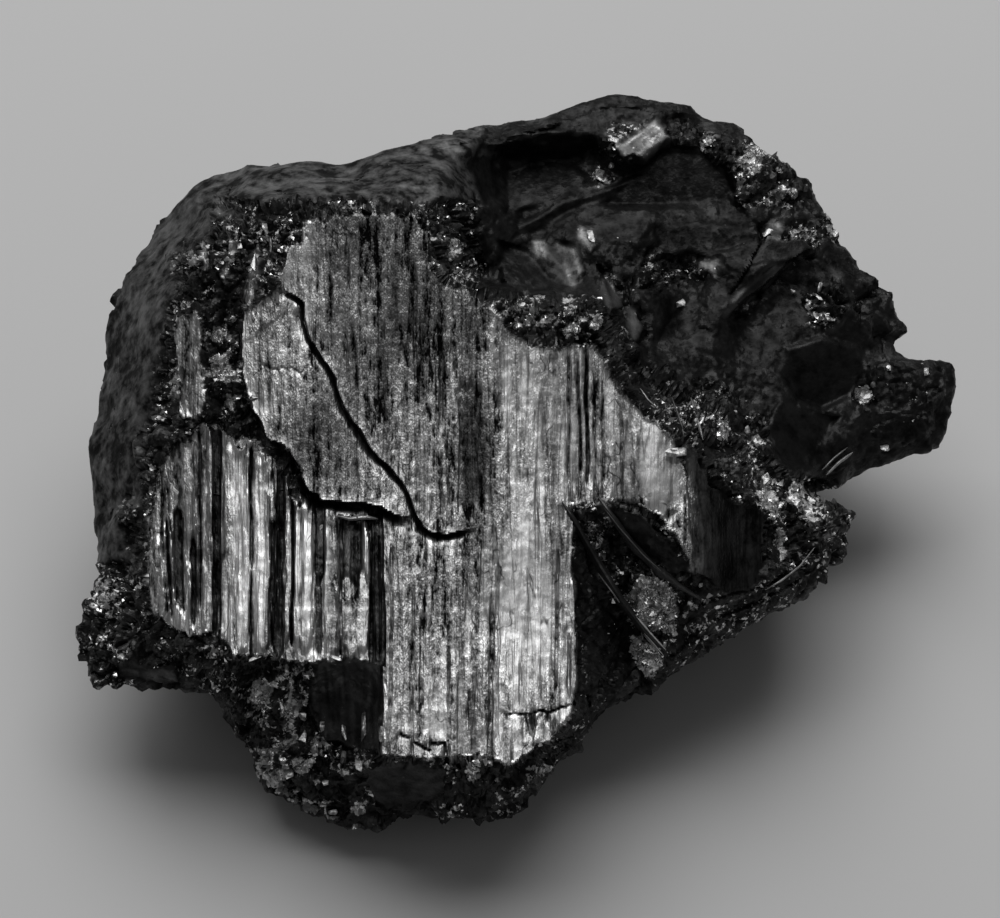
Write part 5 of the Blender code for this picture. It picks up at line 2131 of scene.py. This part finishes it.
@dataclass(frozen=True)
class GraphiteFinish:
    """Graphite as the mesh's zones ask for it.

    Polished fibres are bright metal, streaked along their length and painted with highlight and shade;
    broken stone is dark, with glints painted on single grains; the worn side is sooty. Each pair runs
    from its dark or smooth end to its light or rough end. Each pattern is a stretch, a scale, a detail
    and a roughness; depths are in metres.
    """

    fibre_tone: tuple[float, float] = (0.01, 1.0)
    fibre_middle: float = 0.5
    fibre_rough: tuple[float, float] = (0.26, 0.46)
    fibre_metallic: float = 0.95
    stone_tone: tuple[float, float] = (0.005, 0.03)
    gritty_gain: float = 2.2
    stone_rough: tuple[float, float] = (0.3, 0.55)
    stone_metallic: float = 0.65
    stone_specular: float = 0.12
    painted_glint_tone: tuple[float, float] = (0.2, 1.0)
    sooty_tone: tuple[float, float] = (0.01, 0.17)
    sooty_rough: tuple[float, float] = (0.5, 0.75)
    cell_tilt: float = 0.9
    bands: Pattern = (0.06, 18, 3, 0.6)
    streaks: Pattern = (0.08, 75, 3, 0.65)
    grains: Pattern = (0.4, 95, 3, 0.75)
    hairs: Pattern = (0.05, 34, 2, 0.5)
    worms: Pattern = (0.5, 22, 2, 0.6)
    hair_width: float = 0.022
    worm_width: float = 0.016
    blotch_scale: float = 260
    mottle_scale: float = 800
    crumb_scale: float = 1500
    cell_scale: float = 2100
    grain_depth: float = 0.00018
    streak_depth: float = 0.0002
    crumb_depth: float = 0.0001
    mottle_depth: float = 0.00015

    def material(self) -> bpy.types.Material:
        """The finish as a material."""
        return GraphiteNodes(self).paint()


class GraphiteNodes(Nodes):
    """The graphite's nodes: the zones and patterns that it is drawn from, and what they make."""

    def __init__(self, finish: GraphiteFinish) -> None:
        """Makes the patterns, each from 0 to 1.

        Args:
            finish: the finish to make.
        """
        super().__init__("graphite")
        self.finish = finish
        self.fibrous, self.dull, self.painted_gleam, self.grit = (
            self.attribute(name) for name in ("fibrous", "dull", "painted_gleam", "grit")
        )
        self.bands, self.streaks, self.grains, self.hairs, self.worms = (
            self.drawn_out(pattern)
            for pattern in (finish.bands, finish.streaks, finish.grains, finish.hairs, finish.worms)
        )
        solid = self.coordinates("Object", (1, 1, 1))
        self.blotches = self.noise(solid, finish.blotch_scale, 4, 0.6)
        self.mottle = self.noise(solid, finish.mottle_scale, 3, 0.6)
        self.crumbs = self.noise(solid, finish.crumb_scale, 3, 0.65)
        self.grain_cells = self.cells(solid, finish.cell_scale)

    def fibre_colour(self) -> Socket:
        """How light the polished fibres are.

        Returns:
            The lightness: streaked, crossed by dark hairs and worms, calmer where it is bright, and
            multiplied by the painted highlight and shade.
        """
        broad = self.spread(self.bands, 0.3, 0.7, 0, 0.25)
        tone = self.maths("ADD", broad, self.spread(self.streaks, 0.3, 0.7, 0, 0.35))
        tone = self.maths("ADD", tone, self.spread(self.grains, 0.3, 0.7, 0, 0.4))
        tone = self.spread(tone, 0.34, 0.66, *self.finish.fibre_tone)
        hairs = self.maths("MULTIPLY", self.lines(self.hairs, self.finish.hair_width), 0.7)
        worms = self.lines(self.worms, self.finish.worm_width)
        worms = self.maths("MULTIPLY", worms, self.spread(self.blotches, 0.5, 0.6, 0, 1))
        cracks = self.maths("MAXIMUM", hairs, worms)
        calm = self.spread(self.painted_gleam, 0.7, 1.4, 0.0, 0.75)
        level = self.spread(calm, 0, 1, 0, self.finish.fibre_middle)
        tone = self.maths("MULTIPLY", tone, self.spread(calm, 0, 1, 1, 0))
        painted_shine = self.maths("MULTIPLY", self.maths("ADD", tone, level), self.painted_gleam)
        return self.maths("MULTIPLY", painted_shine, self.spread(cracks, 0, 1, 1, 0.12))

    def stone_colour(self) -> Socket:
        """How light the broken and the sooty stone are.

        Returns:
            The lightness: dark, with glints painted on single grains, and the facets' painted
            highlight and shade.
        """
        stained = self.maths("ADD", self.blotches, self.mottle)
        dark = self.spread(stained, 0.8, 1.25, *self.finish.stone_tone)
        gain = self.spread(self.grit, 0.4, 0.9, 1, self.finish.gritty_gain)
        dark = self.maths("MULTIPLY", dark, gain)
        # Glints painted on single grains where the painted brightness is high.
        lean = self.maths("ADD", self.crumbs, self.spread(self.painted_gleam, 0, 1, -0.74, -0.3))
        drawn = self.add("ShaderNodeSeparateColor")
        self.link(self.grain_cells.outputs["Color"], drawn.inputs[0])
        bright = self.spread(drawn.outputs["Green"], 0, 1, *self.finish.painted_glint_tone)
        painted_grain_glints = self.maths("MULTIPLY", self.spread(lean, 0, 0.07, 0, 1), bright)
        # Smooth facets take their painted highlight and shade as their lightness.
        even = self.maths("MULTIPLY", self.painted_gleam, self.spread(self.mottle, 0.3, 0.7, 0.35, 0.9))
        stone = self.blend(
            self.spread(self.grit, 0.1, 0.5, 0, 1),
            self.maths("MAXIMUM", dark, even), self.maths("MAXIMUM", dark, painted_grain_glints),
        )
        sooty = self.spread(stained, 0.85, 1.25, *self.finish.sooty_tone)
        sooty = self.maths("MAXIMUM", sooty, self.maths("MULTIPLY", painted_grain_glints, 0.7))
        return self.blend(self.dull, stone, sooty)

    def roughness(self) -> Socket:
        """How rough each zone's surface is.

        Returns:
            The roughness.
        """
        polished = self.spread(self.grains, 0.7, 0.3, *self.finish.fibre_rough)
        greasy = self.spread(self.mottle, 0.7, 0.3, *self.finish.stone_rough)
        matte = self.spread(self.mottle, 0.7, 0.3, *self.finish.sooty_rough)
        return self.blend(self.fibrous, self.blend(self.dull, greasy, matte), polished)

    def paint(self) -> bpy.types.Material:
        """Joins the colour, the roughness, the lustre and the bumps to the shader.

        Returns:
            The material.
        """
        finish = self.finish
        inputs = self.shader.inputs
        colour = self.blend(self.fibrous, self.stone_colour(), self.fibre_colour())
        self.link(self.grey(colour), inputs["Base Color"])
        self.link(self.roughness(), inputs["Roughness"])
        stony = self.spread(self.fibrous, 0, 1, 1, 0)
        lustre = self.maths("MAXIMUM", stony, self.spread(self.painted_gleam, 0.0, 0.2, 0.2, 1.0))
        metallic = self.spread(self.fibrous, 0, 1, finish.stone_metallic, finish.fibre_metallic)
        self.link(self.maths("MINIMUM", metallic, lustre), inputs["Metallic"])
        inputs["Specular IOR Level"].default_value = finish.stone_specular
        rugged = self.maths("MULTIPLY", self.fibrous, self.spread(self.painted_gleam, 0.6, 1.3, 1, 0.25))
        layers = [
            (self.maths("MULTIPLY", self.grains, rugged), finish.grain_depth),
            (self.maths("MULTIPLY", self.streaks, self.fibrous), finish.streak_depth),
            (self.maths("MULTIPLY", self.crumbs, self.grit), finish.crumb_depth),
            (self.maths("MULTIPLY", self.mottle, stony), finish.mottle_depth),
        ]
        turn = self.maths("MULTIPLY", self.grit, finish.cell_tilt)
        self.bump(layers, self.tilted(self.grain_cells, turn))
        return self.material


@dataclass(frozen=True)
class CrystalFinish:
    """Fresh crystal faces: bright and nearly mirror-like."""

    tone: tuple[float, float] = (0.3, 0.85)
    rough: tuple[float, float] = (0.14, 0.34)
    blotch_scale: float = 900
    pit_scale: float = 3000
    pit_depth: float = 0.00003

    def material(self) -> bpy.types.Material:
        """The finish as a material.

        Returns:
            The material.
        """
        nodes = Nodes("crystal_graphite")
        solid = nodes.coordinates("Object", (1, 1, 1))
        blotches = nodes.noise(solid, self.blotch_scale, 2, 0.5)
        tone = nodes.grey(nodes.spread(blotches, 0.3, 0.7, *self.tone))
        nodes.link(tone, nodes.shader.inputs["Base Color"])
        nodes.link(nodes.spread(blotches, 0.7, 0.3, *self.rough), nodes.shader.inputs["Roughness"])
        nodes.shader.inputs["Metallic"].default_value = 1.0
        nodes.bump([(nodes.noise(solid, self.pit_scale, 2, 0.5), self.pit_depth)])
        return nodes.material


# ---- Studio ----


class Lamp(Enum):
    """The studio's lamps: place in metres, size in metres and power in watts."""

    OVERHEAD = ((-0.03, 0.33, 0.60), (0.75, 0.75), 4.0)


class Studio:
    """The floor, the lamps, the room's light and the camera."""

    # Metres for the floor, millimetres for the camera's sensor.
    FLOOR_WIDTH = 4.0
    FLOOR_TONE = (0.62, 0.66)
    FLOOR_ROUGH = 0.75
    ROOM_GREY = (0.5, 0.5, 0.5, 1.0)
    ROOM_STRENGTH = 0.2
    SENSOR = 36.0

    def __init__(self, sight: Sight) -> None:
        """Keeps the sight frame that the camera looks along."""
        self.sight = sight

    def floor(self) -> None:
        """A plain pale floor."""
        bpy.ops.mesh.primitive_plane_add(size=self.FLOOR_WIDTH)
        floor = bpy.context.object
        floor.name = "floor"
        nodes = Nodes("floor_paint")
        solid = nodes.coordinates("Object", (1, 1, 1))
        tone = nodes.spread(nodes.noise(solid, 3, 3), 0.3, 0.7, *self.FLOOR_TONE)
        nodes.link(nodes.grey(tone), nodes.shader.inputs["Base Color"])
        nodes.shader.inputs["Roughness"].default_value = self.FLOOR_ROUGH
        floor.data.materials.append(nodes.material)

    def lamps(self) -> None:
        """Soft light from over and behind the stone."""
        target = Vector(self.sight.aim) * MM
        for lamp in Lamp:
            place, size, power = lamp.value
            light = bpy.data.lights.new(lamp.name.lower(), "AREA")
            light.shape = "RECTANGLE"
            light.size, light.size_y = size
            light.energy = power
            obj = bpy.data.objects.new(lamp.name.lower(), light)
            obj.location = place
            obj.rotation_euler = (target - Vector(place)).to_track_quat("-Z", "Y").to_euler()
            bpy.context.scene.collection.objects.link(obj)

    def room(self) -> None:
        """Dim, even light from all round."""
        world = bpy.data.worlds.new("room")
        world.use_nodes = True
        shader = world.node_tree.nodes["Background"]
        shader.inputs["Color"].default_value = self.ROOM_GREY
        shader.inputs["Strength"].default_value = self.ROOM_STRENGTH
        bpy.context.scene.world = world
        bpy.context.scene.view_settings.view_transform = "Standard"

    def camera(self) -> None:
        """The camera, at the eye."""
        data = bpy.data.cameras.new("camera")
        data.sensor_width = self.SENSOR
        data.lens = self.SENSOR * self.sight.distance / self.sight.frame_width
        data.clip_start = 0.01
        camera = bpy.data.objects.new("camera", data)
        camera.location = self.sight.eye
        camera.rotation_euler = (math.radians(90 - self.sight.elevation), 0, 0)
        bpy.context.scene.collection.objects.link(camera)
        bpy.context.scene.camera = camera


def finish_piece(
    piece: bpy.types.Object, material: bpy.types.Material, stands_for_node: bool = False
) -> None:
    """Paints a piece, lets it ride on the stone and reports it.

    Args:
        piece: the piece.
        material: its finish.
        stands_for_node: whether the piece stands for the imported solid.
    """
    piece.data.materials.append(material)
    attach(piece, "root")
    if stands_for_node:
        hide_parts(NODE)
    log.info("%s: %d triangles", piece.name, count_triangles(piece.data))


def main() -> None:
    """Builds the stone, dresses it and sets the studio."""
    logging.basicConfig(level=logging.INFO, format="%(message)s")
    bpy.ops.object.select_all(action="DESELECT")
    sight = Sight()
    noise = Noise(SEED)

    studio = Studio(sight)
    studio.floor()
    studio.lamps()
    studio.room()
    studio.camera()

    body = StoneBody(sight, noise)
    side = SeenSide(sight, noise, Ground(sight, body.stone))
    graphite = GraphiteFinish().material()
    crystal = CrystalFinish().material()
    skins = [
        Skin(side, Cover.FACE, NetSizes(0.11, 0.18, margin=3.0)).build(),
        Skin(side, Cover.RIM, NetSizes(0.17, 0.17)).build(),
        Skin(side, Cover.BLOCK, NetSizes(0.17, 0.17)).build(),
    ]
    for skin in skins:
        finish_piece(skin, graphite)
    finish_piece(body.build(side), graphite, stands_for_node=True)
    finish_piece(Crystals(noise).build(skins[1:]), crystal)
    finish_piece(Splinters(side).build(), graphite)


if __name__ == "__main__":
    main()
